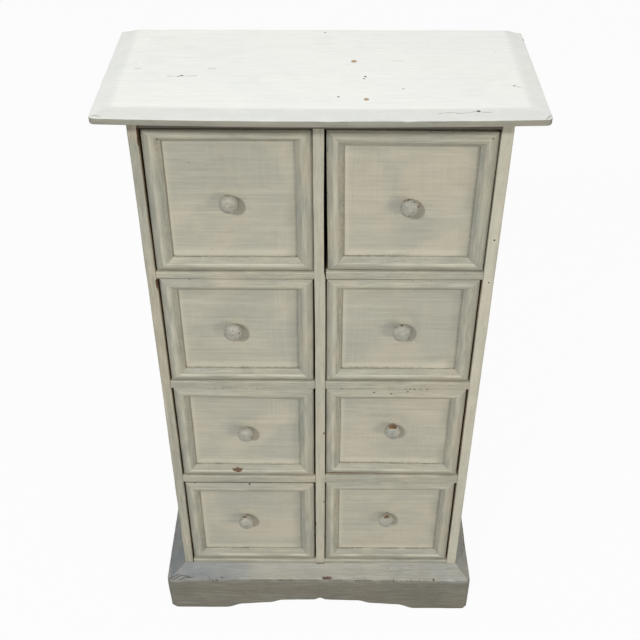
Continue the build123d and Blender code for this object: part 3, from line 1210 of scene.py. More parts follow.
    def make_shelf(self, number: int, column: Column, paint: Material, bare: Material) -> None:
        """Shelf between two rows of drawers, whose front edge shows.

        Args:
            number: Row of drawers that stands above it.
            column: Its side of the partition.
            paint: Paint of its front edge.
            bare: Wood of the rest.
        """
        node = f"shelf_{number}_{column.value}"
        low, high = box_of(node)
        side_low, side_high = box_of(f"{column.value}_side")
        middle_low, middle_high = box_of("centre_partition")
        if column is Column.LEFT:
            slim = float(self.left_slimness(np.array((low[2] + high[2]) / 2.0)))
            ends = (side_high[0] - self.housing - slim, middle_low[0] + self.housing)
        else:
            ends = (middle_high[0] - self.housing, side_low[0] + self.housing)
        seed = 50 + 3 * number + (column is Column.RIGHT)
        planed = self.planed.get((number, column), (0.0, 0.0))
        skin = self.level_board(low, high, ends, seed, planed)
        dress(node, self.body, [skin], [paint, bare])

    def make_bottom_board(self, paint: Material, bare: Material) -> None:
        """Floor of the carcass, whose front edge shows above the plinth.

        Args:
            paint: Paint of its front edge.
            bare: Wood of the rest.
        """
        low, high = box_of("bottom_board")
        end = box_of("left_side")[1][0] - self.housing
        skin = self.level_board(low, high, (end, -end), 71, (self.floor_planed,) * 2)
        dress("bottom_board", self.body, [skin], [paint, bare])

    def level_board(
        self, low: np.ndarray, high: np.ndarray, ends: Band, seed: int, planed: Band
    ) -> Skin:
        """Level board with a rough front edge, which may be planed lower.

        Args:
            low: Lowest corner of the board in the CAD.
            high: Highest corner there.
            ends: Where the board starts and ends from left to right.
            seed: Seed of its unevenness.
            planed: How much lower the front is at its left and right end.

        Returns:
            The board.
        """
        start, stop = (ends[0], low[1], low[2]), (ends[1], high[1], high[2])
        skin = board_skin(start, stop, self.arris, self.spacing)
        self.roughen_edge(skin, low[1], seed)
        x, y, z = skin.points.T
        share = np.clip((x - x.min()) / (x.max() - x.min()), 0.0, 1.0)
        front = smooth_step(y, low[1] + 24.0, low[1] + 19.0)
        lifted = (z - low[2]) / (high[2] - low[2])
        near, far = planed
        skin.points[:, 2] -= front * lifted * (near + (far - near) * share)
        return skin

    def roughen_edge(self, skin: Skin, front: float, seed: int) -> None:
        """Makes the front edge of a level board uneven, dented and grubby, with a painted
        highlight along its upper arris.

        Args:
            skin: The board.
            front: Where its front edge is.
            seed: Seed of the dents.
        """
        near_front = smooth_step(skin.points[:, 1], front + 6.0, front + 2.0)
        arris = skin.wear * near_front
        slow = Ripple(0.22, 90.0, seed).at(skin.points)
        dents = Ripple(0.5, 18.0, seed + 100).patches(skin.points, most=0.6)
        skin.push(near_front * (slow - 0.25) - arris * dents)
        ends = np.abs(skin.outward[:, 0])
        skin.wear = arris * Ripple(0.6, 30.0, seed + 200).patches(skin.points, 0.4)
        skin.grime_and_shade = 0.64 * ends
        skin.bare = (1.0 - near_front) * (ends < 0.6)
        # Painted highlight: the upper side of the front edge is paler.
        upper = smooth_step(skin.outward[:, 2], 0.2, 0.7)
        patches = Ripple(0.7, 60.0, seed + 300).patches(skin.points, 0.5)
        skin.pale = near_front * upper * patches * 0.8


@dataclass
class Plinth:
    """Coved and mitred boards round the foot, the front one with a scalloped edge."""

    face_height: float = 77.0
    top_height: float = 94.0
    projection: float = 25.0
    cove_sag: float = 2.0
    arris: float = 3.0
    crown: float = 3.2
    corner_wear: float = 9.0
    corner_half: float = 255.0
    swelling: float = 5.2
    slow: Band = (0.40, 130.0)
    quick: Band = (0.15, 26.0)
    scallop_half: float = 166.0
    straight_half: float = 175.0
    knocks: tuple[tuple[float, float], ...] = ((12.0, 19.0), (192.0, 9.0))
    knock_depth: float = 1.6
    scallop: tuple[tuple[float, float], ...] = (
        (163.0, 0.0),
        (132.0, 10.2),
        (88.0, 14.2),
        (64.0, 21.0),
        (10.0, 23.2),
        (0.0, 28.0),
    )
    soft_runs: tuple[bool, ...] = (True, False, True, False, True)
    body: str = "carcass"

    def section(self) -> np.ndarray:
        """Section of a plinth board.

        Returns:
            Array of points: projection from the board's back, and height.
        """
        cove = [
            (
                self.projection * (1.0 - share),
                self.face_height
                + (self.top_height - self.face_height) * share
                - 4.0 * self.cove_sag * share * (1.0 - share),
            )
            for share in (0.2, 0.4, 0.6, 0.8)
        ]
        corners = [(0.0, 0.0, 0.8), (self.projection, 0.0, 1.6)]
        corners.append((self.projection, self.face_height, self.arris))
        corners += [(across, up, 0.0) for across, up in cove]
        corners.append((0.0, self.top_height, 0.0))
        return filled_section(rounded_section(corners), 6.0)

    def lower_edge(self, reach: float) -> float:
        """Height of the scalloped edge.

        Args:
            reach: Distance from the middle of the board.

        Returns:
            Height above the floor.
        """
        outline = list(reversed(self.scallop))
        height = 0.0
        for (near, top), (far, low), soft in zip(outline, outline[1:], self.soft_runs):
            if near <= reach <= far:
                share = (reach - near) / (far - near)
                if soft:
                    share = share * share * (3.0 - 2.0 * share)
                height = top + (low - top) * share
        return height

    def make_front(self, face: Material, slope: Material) -> None:
        """Front board: coved top, mitred ends and scalloped lower edge.

        Args:
            face: Paint of its upright face.
            slope: Paint of its sloped upper side.
        """
        low, high = box_of("plinth_front")
        section = self.section()
        inner, held = self.scallop_half, self.straight_half
        left = np.linspace(low[0], -inner, 26)[:-1]
        right = np.linspace(inner, high[0], 26)[1:]
        xs = np.concatenate([left, np.linspace(-inner, inner, 111), right])
        rings = np.zeros((len(xs), len(section), 3))
        projection, up = section.T
        for i, x in enumerate(xs):
            reach = np.full(len(section), abs(x))
            if abs(x) > held:
                shorter = self.projection - projection
                reach = held + (abs(x) - held) * (high[0] - shorter - held) / (high[0] - held)
            lift = self.lower_edge(abs(x)) * np.clip(1.0 - up / self.face_height, 0.0, 1.0)
            rings[i, :, 0] = math.copysign(1.0, x) * reach if x else 0.0
            rings[i, :, 1] = high[1] - projection
            rings[i, :, 2] = up + lift
        skin = swept_skin(rings)
        self.round_corners(skin, low[1])
        self.swell(skin)
        self.weather(skin, low[1], 81)
        for x, width in self.knocks:
            place = (x, low[1] + 2.0, self.face_height + 1.5)
            dent(skin, place, (width / 2.0, 5.0, 3.0), self.knock_depth)
        skin.level_finish = 1
        dress("plinth_front", self.body, [skin], [face, slope])

    def make_side(self, column: Column, face: Material, slope: Material) -> None:
        """Side board: the same section, mitred to the front one.

        Args:
            column: Side of the chest.
            face: Paint of its upright face.
            slope: Paint of its sloped upper side.
        """
        node = f"plinth_{column.value}"
        low, high = box_of(node)
        sign, seed = (-1.0, 91) if column is Column.LEFT else (1.0, 95)
        back = high[0] if sign < 0 else low[0]
        section = self.section()
        projection, up = section.T
        shares = np.linspace(0.0, 1.0, 48)
        rings = np.zeros((len(shares), len(section), 3))
        start = low[1] + self.projection - projection
        rings[:, :, 0] = back + sign * projection
        rings[:, :, 1] = start + (high[1] - start) * shares[:, None]
        rings[:, :, 2] = up
        skin = swept_skin(rings)
        self.round_corners(skin, low[1])
        if column is Column.LEFT:
            self.swell(skin)
        self.weather(skin, low[1], seed)
        skin.level_finish = 1
        dress(node, self.body, [skin], [face, slope])

    def round_corners(self, skin: Skin, front: float) -> None:
        """Rubs the two upright corners of the foot round, alike on both boards of a mitre.

        Args:
            skin: The board.
            front: Where the front of the plinth is.
        """
        x, y, _ = skin.points.T
        half = box_of("plinth_front")[1][0]
        width = self.corner_wear
        to_end = np.clip((np.abs(x) - half + width) / width, 0.0, 1.0)
        to_front = np.clip((front + width - y) / width, 0.0, 1.0)
        amount = 0.3 * width * (to_end * to_front) ** 2
        skin.points[:, 0] -= np.sign(x) * amount
        skin.points[:, 1] += amount

    def swell(self, skin: Skin) -> None:
        """Lets the left end stand out a little, most of all at the height of its arris.

        Args:
            skin: The board.
        """
        x, _, z = skin.points.T
        outer = smooth_step(x, -232.0, -self.corner_half)
        rise = 0.75 + 0.25 * smooth_step(z, 5.0, 60.0)
        skin.points[:, 0] -= self.swelling * outer * rise

    def weather(self, skin: Skin, front: float, seed: int) -> None:
        """Makes a plinth board uneven, with a knocked front arris, a dirty foot and painted shade
        on the slope at its left end.

        Args:
            skin: The board.
            front: Where the front of the plinth is.
            seed: Seed of its unevenness.
        """
        x, y, z = skin.points.T
        raised = smooth_step(z, 40.0, 76.0) * smooth_step(z, self.top_height, 78.0)
        bow = self.crown * (1.0 - (x / 200.0) ** 2)
        skin.points[:, 2] += raised * bow * (y < front + self.projection + 1.0)
        x, y, z = skin.points.T
        skin.push(unevenness(skin.points, self.slow, self.quick, seed) - 0.35)
        arris = np.clip(1.0 - np.abs(z - self.face_height) / 6.0, 0.0, 1.0)
        outer = smooth_step(y, front + 6.0, front + 2.0)
        arris = arris * np.maximum(outer, smooth_step(np.abs(x), 249.0, 253.0))
        dents = Ripple(1.1, 30.0, seed + 2).patches(skin.points, most=1.3)
        ends = smooth_step(np.abs(x), 200.0, 250.0) * 1.2
        skin.push(-arris * (dents + ends))
        self.wear_foot(skin, outer, x, z)
        skin.wear = np.clip(arris * (0.4 + Ripple(0.6, 40.0, seed + 3).at(skin.points)), 0.0, 1.0)
        skin.grime_and_shade = 0.6 * smooth_step(z, 16.0, 2.0)
        upright = smooth_step(y, front + 4.0, front + 1.0)
        below = smooth_step(z, self.face_height - 9.0, self.face_height - 1.0) * upright
        # Painted shade, dark blue-grey, on the slope towards the left end.
        left_end_shade = smooth_step(x, -60.0, -236.0)
        skin.thin_and_shade = np.where(z < self.face_height - 0.5, below, 0.85 * left_end_shade)
        skin.pale = arris * Ripple(1.3, 34.0, seed + 4).patches(skin.points, -0.1)

    def wear_foot(self, skin: Skin, outer: np.ndarray, x: np.ndarray, z: np.ndarray) -> None:
        """Wears the two lower corners of the front away.

        Args:
            skin: The board.
            outer: Mask of its front.
            x: Places of its points from left to right.
            z: Heights of its points.
        """
        corner = smooth_step(np.hypot(np.abs(x) - self.corner_half, z), 9.0, 0.0) * outer
        skin.points[:, 0] -= np.sign(x) * corner * 2.5
        skin.points[:, 2] += corner * 1.5


@dataclass(frozen=True)
class Moulding:
    """Section of the planted moulding: from the outer edge inward, and up from the panel."""

    width: float = 21.0
    height: float = 8.0
    ridge_end: float = 14.4
    profile: tuple[tuple[float, float, float], ...] = (
        (0.0, 0.0, 0.0),
        (0.0, 3.0, 0.8),
        (3.4, 5.6, 1.0),
        (9.4, 7.8, 1.5),
        (12.4, 8.0, 0.9),
        (13.4, 7.0, 0.4),
        (14.4, 7.1, 0.4),
        (21.0, 2.6, 0.8),
        (21.0, 0.0, 0.0),
    )

    def line(self) -> np.ndarray:
        """Points round the section."""
        return filled_section(rounded_section(self.profile, steps=3), 2.5)


@dataclass(frozen=True)
class StripLightAndWear:
    """Painted highlights and shade on one strip of the moulding, set by which way its parts face,
    with its crease dirt, as shares along its parts.
    """

    # Highlights and shade are painted; foot is dirt in the crease at the panel, side is dirt and
    # painted shade in the gap round the drawer.
    outside_highlight: float
    ridge_highlight: float
    slope_shade: float
    thin_and_shaded_slope: float
    thin_and_shaded_outside: float
    foot: float
    side: float = 0.45


BOTTOM_STRIP, TOP_STRIP = 0, 1


@dataclass
class DrawerFront:
    """What shows of one drawer: panel, mitred moulding and turned knob, a bit off square."""

    row: int
    column: Column
    corners: tuple[tuple[float, float], ...] = ((0.0, 0.0),) * 4
    widths: tuple[float, float, float, float] = (1.0, 1.0, 1.0, 1.0)
    chips: tuple[Spot, ...] = ()
    knob_diameter: float = 25.0
    taper: float = 0.0
    knob_depth: float = 18.4
    ring_depth: float = 0.55
    ring_width: float = 1.4
    ring_place: float = 0.42
    knob_blunt: float = 0.84
    knob_steps: int = 28
    knob_around: int = 40
    neck: tuple[tuple[float, float], ...] = (
        (0.0, -2.0),
        (5.9, -2.0),
        (6.5, 0.0),
        (6.6, 0.9),
        (6.1, 1.7),
        (5.8, 2.5),
    )
    spacing: float = 4.0
    strip_slow: Band = (0.25, 70.0)
    strip_quick: Band = (0.10, 16.0)
    moulding: Moulding = field(default_factory=Moulding)
    # Painted highlights and shade of the bottom, top, left and right strip, each by the way it
    # faces.
    strips: tuple[StripLightAndWear, ...] = (
        StripLightAndWear(0.0, 1.0, 0.12, 0.42, 0.30, foot=1.0, side=0.35),
        StripLightAndWear(0.20, 0.22, 0.14, 0.30, 0.30, foot=0.8),
        StripLightAndWear(0.0, 0.55, 0.34, 0.0, 0.60, foot=0.8),
        StripLightAndWear(0.15, 0.25, 0.10, 0.65, 0.45, foot=0.6),
    )

    @property
    def name(self) -> str:
        """Name of the drawer's body, which starts the names of its nodes."""
        return f"drawer_{self.row}_{self.column.value}"

    @property
    def seed(self) -> int:
        """Start of this drawer's own unevenness."""
        return 1000 + 40 * self.row + (20 if self.column is Column.RIGHT else 0)

    @property
    def panel_plane(self) -> float:
        """Place of the panel's face from front to back."""
        return box_of(f"{self.name}_front")[0][1]

    def knob_centre(self) -> np.ndarray:
        """Middle of the knob's head.

        Returns:
            Place in the frame of the part.
        """
        low, high = box_of(f"{self.name}_knob")
        middle = (low + high) / 2.0
        return np.array([middle[0], low[1] + self.knob_depth / 2.0, middle[2]])

    def knob_chips(self) -> tuple[Spot, ...]:
        """The knob's chips, moved from a knob of 22 mm round 0 to their places.

        Returns:
            The chips in the frame of the part.
        """
        centre = self.knob_centre()
        scale = self.knob_diameter / 22.0
        way = np.array([scale, 1.0, scale])
        return tuple(
            Spot(tuple(centre + way * np.array(chip.centre)), chip.size) for chip in self.chips
        )

    def pale_spot(self) -> Spot:
        """Paler place on the panel just above the knob.

        Returns:
            The spot on the panel.
        """
        centre = self.knob_centre()
        return Spot((centre[0] + 2.0, self.panel_plane, centre[2] + 9.0), (17.0, 12.0, 13.0))

    def off_square(self, skin: Skin, low: np.ndarray, high: np.ndarray) -> None:
        """Moves the four corners of the front, and what lies between them with them.

        Args:
            skin: Board to move.
            low: Lowest corner of the whole front.
            high: Highest corner of the whole front.
        """
        across = (skin.points[:, 0] - low[0]) / (high[0] - low[0])
        up = (skin.points[:, 2] - low[2]) / (high[2] - low[2])
        shares = ((1 - across) * (1 - up), across * (1 - up), across * up, (1 - across) * up)
        for share, (dx, dz) in zip(shares, self.corners):
            skin.points[:, 0] += share * dx
            skin.points[:, 2] += share * dz

    def make_panel(self, paint: Material, bare: Material) -> None:
        """Flat front board, the recessed panel inside the moulding.

        Args:
            paint: Paint of its front and edges.
            bare: Wood of its back.
        """
        node = f"{self.name}_front"
        low, high = box_of(node)
        skin = board_skin(low, high, 0.8, self.spacing)
        facing = smooth_step(-skin.outward[:, 1], 0.6, 0.95)
        square = skin.points
        skin.push(facing * (Ripple(0.45, 110.0, self.seed).at(skin.points) - 0.3))
        self.soil_panel(skin, square, facing, low, high)
        self.off_square(skin, low, high)
        skin.bare = (skin.outward[:, 1] > 0.5).astype(float)
        dress(node, self.name, [skin], [paint, bare])

    def soil_panel(
        self, skin: Skin, square: np.ndarray, facing: np.ndarray, low: np.ndarray, high: np.ndarray
    ) -> None:
        """Puts dirt, painted highlights and painted shade on the panel, along the strips round it.

        Args:
            skin: The panel.
            square: Its points before any unevenness.
            facing: Mask of its front.
            low: Its lowest corner.
            high: Its highest corner.
        """
        x, _, z = square.T
        width = self.moulding.width
        to_left, to_right = x - low[0] - width, high[0] - width - x
        to_foot, to_top = z - low[2] - width, high[2] - width - z
        inside = np.minimum(np.minimum(to_left, to_right), np.minimum(to_foot, to_top))
        # Painted shade near the strips, and a line of crease dirt and painted shade along the foot
        # and the right strip.
        lower = smooth_step(to_foot, 9.0, 1.0)
        away = smooth_step(to_right, 10.0, 20.0)
        faint = smooth_step(inside, 7.0, 0.0) * away * (0.10 + 0.10 * lower)
        line = np.maximum(smooth_step(to_foot, 3.5, 0.5), 0.8 * smooth_step(to_right, 3.5, 0.5))
        skin.grime_and_shade = facing * np.maximum(faint, 0.60 * line) + (1.0 - facing) * 0.35
        # Painted highlight along the left strip and the foot.
        skin.pale = facing * np.maximum(
            0.60 * smooth_step(to_left, 9.0, 3.0), 0.90 * smooth_step(to_foot, 15.0, 4.0)
        )
        # Painted shade, cool grey, along the right strip and under the top strip.
        cloud = Ripple(0.55, 46.0, self.seed + 1).patches(skin.points, 0.70)
        skin.thin_and_shade = facing * cloud * np.maximum(
            0.75 * smooth_step(to_right, 19.0, 2.0), 0.35 * smooth_step(to_top, 13.0, 2.0)
        )

    def make_moulding(self, level: Material, upright: Material, hidden: Material) -> None:
        """Four strips of one section, mitred round the front; widths differ a little.

        Args:
            level: Paint of the level strips.
            upright: Paint of the upright strips.
            hidden: Painted shade, with some grime, on the top side of the upper strip.
        """
        node = f"{self.name}_moulding"
        low, high = box_of(node)
        section = self.moulding.line()
        inward, up = section.T
        skins: list[Skin] = []
        below, above, left, right = self.widths
        from_left, from_right = above * (1.0 - self.taper), above * (1.0 + self.taper)
        strips = (
            (Run.ACROSS, low[2], below, low[0], high[0], left, right),
            (Run.ACROSS, high[2], -above, low[0], high[0], left, right),
            (Run.UPRIGHT, low[0], left, low[2], high[2], below, from_left),
            (Run.UPRIGHT, high[0], -right, low[2], high[2], below, from_right),
        )
        for number, (run, edge, width, first, last, start, end) in enumerate(strips):
            shares = np.linspace(0.0, 1.0, max(8, round((last - first) / 5.0)))
            rings = np.zeros((len(shares), len(section), 3))
            begins, ends = first + inward * start, last - inward * end
            along = begins + np.outer(shares, ends - begins)
            taper = self.taper if number == TOP_STRIP else 0.0
            across = edge + inward * width * (1.0 + (2.0 * shares[:, None] - 1.0) * taper)
            rings[:, :, 0], rings[:, :, 2] = (
                (along, across) if run is Run.ACROSS else (across, along)
            )
            rings[:, :, 1] = high[1] - up
            skin = swept_skin(rings)
            self.rub_strip(skin, inward, up, len(shares), number)
            skin.finish = 0 if run is Run.ACROSS else 1
            # The top side of the upper strip takes the dark paint: painted shade in the gap under
            # the shelf.
            if number == TOP_STRIP:
                skin.level_finish, skin.level_from = 2, 0.85
            self.off_square(skin, low, high)
            skins.append(skin)
        dress(node, self.name, skins, [level, upright, hidden])

    def rub_strip(
        self, skin: Skin, inward: np.ndarray, up: np.ndarray, stations: int, number: int
    ) -> None:
        """Makes one strip uneven along its run, worn on its arris and dirty in its foot, with
        painted highlights on its ridge and outer band and painted shade on its slope and sides.

        Args:
            skin: The strip.
            inward: Distance of each point of the section from the outer edge.
            up: Height of each point of the section above the panel.
            stations: Number of sections along the strip.
            number: Number of the strip: bottom, top, left or right.
        """
        seed = self.seed + 2 * number + 3
        worn = self.strips[number]
        raised = np.tile(np.clip(up / self.moulding.height, 0.0, 1.0), stations)
        hand_work = unevenness(skin.points, self.strip_slow, self.strip_quick, seed)
        skin.push(raised * (hand_work - 0.25))
        outer = np.tile(smooth_step(inward, 3.5, 0.0) * smooth_step(up, 1.5, 4.0), stations)
        skin.wear = outer * Ripple(0.7, 26.0, seed + 2).patches(skin.points, 0.4)
        foot = np.tile(smooth_step(inward, 19.0, 20.6) * smooth_step(up, 3.4, 1.2), stations)
        side = np.tile(smooth_step(inward, 2.0, 0.5) * smooth_step(up, 3.2, 1.0), stations)
        slope = np.tile(smooth_step(inward, 13.4, 15.4), stations)
        ridge = smooth_step(inward, 7.0, 9.5) * smooth_step(inward, self.moulding.ridge_end, 12.6)
        ridge = np.tile(ridge, stations)
        outside = np.tile(smooth_step(inward, 8.5, 5.0), stations)
        broken = Ripple(0.7, 55.0, seed + 4).patches(skin.points, 0.65, least=0.1)
        uneven = Ripple(0.6, 48.0, seed + 5).patches(skin.points, 0.70)
        # Painted shade on the slope and the outer side, painted highlights on the ridge and the
        # outer band.
        crease = foot * worn.foot * broken + side * worn.side
        skin.grime_and_shade = np.maximum(crease, slope * worn.slope_shade)
        skin.pale = uneven * np.maximum(outside * worn.outside_highlight, ridge * worn.ridge_highlight)
        skin.thin_and_shade = uneven * np.maximum(slope * worn.thin_and_shaded_slope, outside * worn.thin_and_shaded_outside)

    def knob_profile(self, reach: float) -> list[tuple[float, float]]:
        """Outline of the turned knob: neck, back, rim, and face with its turned ring.

        Args:
            reach: How far the knob stands off the panel.

        Returns:
            Radius and distance off the panel, from the neck to the middle of the face.
        """
        radius, semi = self.knob_diameter / 2.0, self.knob_depth / 2.0
        profile = list(self.neck)
        begin = math.asin(self.neck[1][0] / radius)
        for step in range(self.knob_steps + 1):
            angle = begin + (math.pi - begin) * step / self.knob_steps
            front = angle > math.pi / 2.0
            out = radius * math.sin(angle) ** (self.knob_blunt if front else 1.0)
            off_ring = (out - self.ring_place * radius) / self.ring_width
            ring = self.ring_depth * math.exp(-(off_ring**2)) if front else 0.0
            profile.append((out, reach - semi - semi * math.cos(angle) - ring))
        return profile

    def make_knob(self, paint: Material) -> None:
        """Turned knob, a little out of round, thickly painted, with painted shade on its back and
        neck and a painted highlight on its front.

        Args:
            paint: Paint of the knobs.
        """
        node = f"{self.name}_knob"
        low, high = box_of(node)
        panel = self.panel_plane
        centre_x, centre_z = (low[0] + high[0]) / 2.0, (low[2] + high[2]) / 2.0
        profile = self.knob_profile(panel - low[1])
        rings = np.zeros((len(profile), self.knob_around, 3))
        turn = np.linspace(0.0, 2.0 * math.pi, self.knob_around, endpoint=False)
        for i, (out, off) in enumerate(profile):
            out = max(out, 0.05)
            rings[i, :, 0] = centre_x + out * np.cos(turn)
            rings[i, :, 2] = centre_z + out * np.sin(turn)
            rings[i, :, 1] = panel - off
        skin = swept_skin(rings)
        lumps = Ripple(0.28, 15.0, self.seed + 15).at(skin.points)
        skin.push(np.where(skin.points[:, 1] < panel - 1.0, lumps - 0.1, 0.0))
        for chip in self.knob_chips():
            dent(skin, chip.centre, chip.size, 0.45)
        skin.wear = Ripple(0.3, 14.0, self.seed + 17).patches(skin.points, 0.25, most=0.6)
        x, y, z = skin.points.T
        widest = low[1] + self.knob_depth / 2.0
        behind = smooth_step(y, widest - 1.0, widest + 3.0)
        off_rim = np.abs(np.hypot(x - centre_x, z - centre_z) - self.knob_diameter / 2.0)
        patches = Ripple(0.8, 13.0, self.seed + 18).patches(skin.points, 0.5)
        # Painted shade on the back half and at the neck, dirt and painted shade round the rim; the
        # front half is painted paler as a highlight.
        handling_and_shade = 0.26 * behind + 0.34 * smooth_step(off_rim, 2.2, 0.4) * patches
        skin.grime_and_shade = np.maximum(smooth_step(y, panel - 3.5, panel - 0.5) * 0.9, handling_and_shade)
        skin.pale = 0.5 * (1.0 - behind) * (1.0 - patches)
        dress(node, self.name, [skin], [paint])

    def dress_box(self, side: Material, bottom: Material) -> None:
        """Gives the drawer's own box and bottom their bare wood."""
        finish_node(f"{self.name}_box", side)
        finish_node(f"{self.name}_bottom", bottom)


# Studio


@dataclass(frozen=True)
class Lamp:
    """Square soft lamp that looks at the middle of the chest."""

    name: str
    azimuth: float
    elevation: float
    distance: float
    size: float
    watts: float
    colour: Colour = (1.0, 1.0, 1.0)

    def make(self, target: Vector3) -> None:
        """Hangs the lamp; azimuth 0 is the front, positive to its right.

        Args:
            target: Place that the lamp looks at, in metres.
        """
        turn, lift = math.radians(self.azimuth), math.radians(self.elevation)
        way = np.array(
            [math.sin(turn) * math.cos(lift), -math.cos(turn) * math.cos(lift), math.sin(lift)]
        )
        data = bpy.data.lights.new(self.name, "AREA")
        data.shape, data.size = "SQUARE", self.size
        data.energy, data.color = self.watts, self.colour
        lamp = bpy.data.objects.new(self.name, data)
        lamp.location = tuple(np.array(target) + way * self.distance)
        lamp.rotation_euler = (math.radians(90.0) - lift, 0.0, turn)
        bpy.context.collection.objects.link(lamp)
        LOG.info("lamp %s", self.name)


@dataclass(frozen=True)
class Studio:
    """Floor, lamps, sky and the camera at the photograph's angle."""

    camera_place: Vector3 = (6.76, -1137.17, 1476.65)
    camera_down: float = 38.964
    camera_turn: float = 0.391
    lens: float = 55.823
    sensor: float = 36.0
    sky: float = 0.29
    sky_colour: Colour = (0.975, 0.985, 0.985)
    white: Colour = (1.0, 1.0, 1.0)
    floor_reach: float = 9.0
    floor_grey: float = 0.55
    floor_roughness: float = 0.9
    floor_glow: float = 0.955
    middle: Vector3 = (0.0, 0.0, 0.5)
    lamps: tuple[Lamp, ...] = (
        Lamp("key", -28.0, 37.0, 6.0, 0.52, 198.0, (0.975, 0.985, 0.975)),
        Lamp("overhead", 0.0, 84.0, 2.4, 1.4, 22.0, (0.99, 0.995, 1.0)),
        Lamp("fill", 46.0, 13.0, 4.0, 0.9, 38.0, (1.0, 0.915, 0.77)),
    )

    def make_camera(self) -> None:
        """Sets the camera where the photograph was taken from."""
        data = bpy.data.cameras.new("camera")
        data.sensor_width, data.lens = self.sensor, self.lens
        data.clip_start = 0.01
        camera = bpy.data.objects.new("camera", data)
        camera.location = tuple(value * METRES for value in self.camera_place)
        down, turn = math.radians(90.0 - self.camera_down), math.radians(self.camera_turn)
        camera.rotation_euler = (down, 0.0, turn)
        bpy.context.collection.objects.link(camera)
        bpy.context.scene.camera = camera

    def make_floor(self) -> None:
        """Pale floor that keeps the shadow and looks white to the camera."""
        mesh = bpy.data.meshes.new("floor")
        reach = self.floor_reach
        corners = [(-reach, -reach, 0), (reach, -reach, 0), (reach, reach, 0), (-reach, reach, 0)]
        mesh.from_pydata(corners, [], [(0, 1, 2, 3)])
        nodes = Nodes("pale_floor")
        tree = nodes.tree
        nodes.feed(nodes.surface.inputs["Base Color"], (self.floor_grey,) * 3)
        nodes.feed(nodes.surface.inputs["Roughness"], self.floor_roughness)
        glow = nodes.add("ShaderNodeEmission")
        nodes.feed(glow.inputs["Color"], self.white)
        seen = nodes.add("ShaderNodeLightPath")
        share = nodes.math("MULTIPLY", seen.outputs["Is Camera Ray"], self.floor_glow)
        blend = nodes.add("ShaderNodeMixShader")
        tree.links.new(share, blend.inputs[0])
        tree.links.new(nodes.surface.outputs[0], blend.inputs[1])
        tree.links.new(glow.outputs[0], blend.inputs[2])
        tree.links.new(blend.outputs[0], tree.nodes["Material Output"].inputs["Surface"])
        mesh.materials.append(nodes.material)
        floor = bpy.data.objects.new("floor", mesh)
        bpy.context.collection.objects.link(floor)
        LOG.info("floor")

    def make_sky(self) -> None:
        """Even soft light from all round, white behind the chest."""
        world = bpy.data.worlds.new("sky")
        bpy.context.scene.world = world
        world.use_nodes = True
        tree = world.node_tree
        tree.nodes.clear()
        shades = []
        for colour, strength in ((self.sky_colour, self.sky), (self.white, 1.0)):
            shade = tree.nodes.new("ShaderNodeBackground")
            shade.inputs["Color"].default_value = (*colour, 1.0)
            shade.inputs["Strength"].default_value = strength
            shades.append(shade)
        seen = tree.nodes.new("ShaderNodeLightPath")
        white_share = seen.outputs["Is Camera Ray"]
        for ray in ("Is Glossy Ray", "Is Transmission Ray"):
            either = tree.nodes.new("ShaderNodeMath")
            either.operation = "MAXIMUM"
            tree.links.new(white_share, either.inputs[0])
            tree.links.new(seen.outputs[ray], either.inputs[1])
            white_share = either.outputs[0]
        blend = tree.nodes.new("ShaderNodeMixShader")
        output = tree.nodes.new("ShaderNodeOutputWorld")
        tree.links.new(white_share, blend.inputs[0])
        for place, shade in enumerate(shades, start=1):
            tree.links.new(shade.outputs[0], blend.inputs[place])
        tree.links.new(blend.outputs[0], output.inputs["Surface"])
        LOG.info("sky")

    def make(self) -> None:
        """Sets up the whole studio."""
        self.make_camera()
        self.make_floor()
        self.make_sky()
        for lamp in self.lamps:
            lamp.make(self.middle)
        bpy.context.scene.view_settings.view_transform = "Standard"


FRONT_PLANE = -83.5
TOP = 950.0
SPOT_DEPTH = 12.0
TOP_SPOT_DEPTH = 9.0


def front_spot(x: float, z: float, width: float, height: float) -> Spot:
    """Spot on the front of the chest."""
    return Spot((x, FRONT_PLANE, z), (width / 2.0, SPOT_DEPTH, height / 2.0))


def top_spot(x: float, y: float, width: float, depth: float) -> Spot:
    """Spot on the top board."""
    return Spot((x, y, TOP), (width / 2.0, depth / 2.0, TOP_SPOT_DEPTH))


def top_crack(x: float, y: float, end_x: float, end_y: float, width: float = 0.8) -> Crack:
    """Crack along the top board."""
    return Crack((x, y, TOP), (end_x, end_y, TOP), width)


def plinth_crack(x: float, y: float, end_x: float, end_y: float, width: float) -> Crack:
    """Crack on the slope of the plinth."""
    return Crack((x, y, 80.0), (end_x, end_y, 80.0), width)


# Darker than the panel paint: partly grubbier paint, partly painted shade on the strips and the
# shelf edges.
STRIP_PAINT = Paint(
    "paint_level",
    Run.ACROSS,
    cool=(0.325, 0.323, 0.270),
    warm=(0.400, 0.370, 0.285),
    light=(0.575, 0.550, 0.450),
    shade=(0.225, 0.213, 0.170),
    undercoat_and_shade=(0.238, 0.243, 0.212),
    band_light=0.20,
)
LEVEL_PAINT = replace(
    STRIP_PAINT,
    chips=(front_spot(-128.6, 322.4, 16.0, 8.0), front_spot(20.5, 316.0, 14.0, 3.2)),
    holes=(
        front_spot(-195.0, 899.5, 2.8, 2.8),
        front_spot(206.0, 901.5, 2.8, 2.8),
        front_spot(-191.0, 734.0, 2.6, 2.2),
        front_spot(-111.9, 286.9, 3.4, 2.6),
        front_spot(78.0, 488.0, 3.4, 1.8),
        front_spot(103.0, 486.0, 3.0, 1.6),
        front_spot(127.0, 489.0, 3.0, 1.6),
    ),
)
UPRIGHT_PAINT = replace(STRIP_PAINT, name="paint_upright", run=Run.UPRIGHT, seed=3.0)
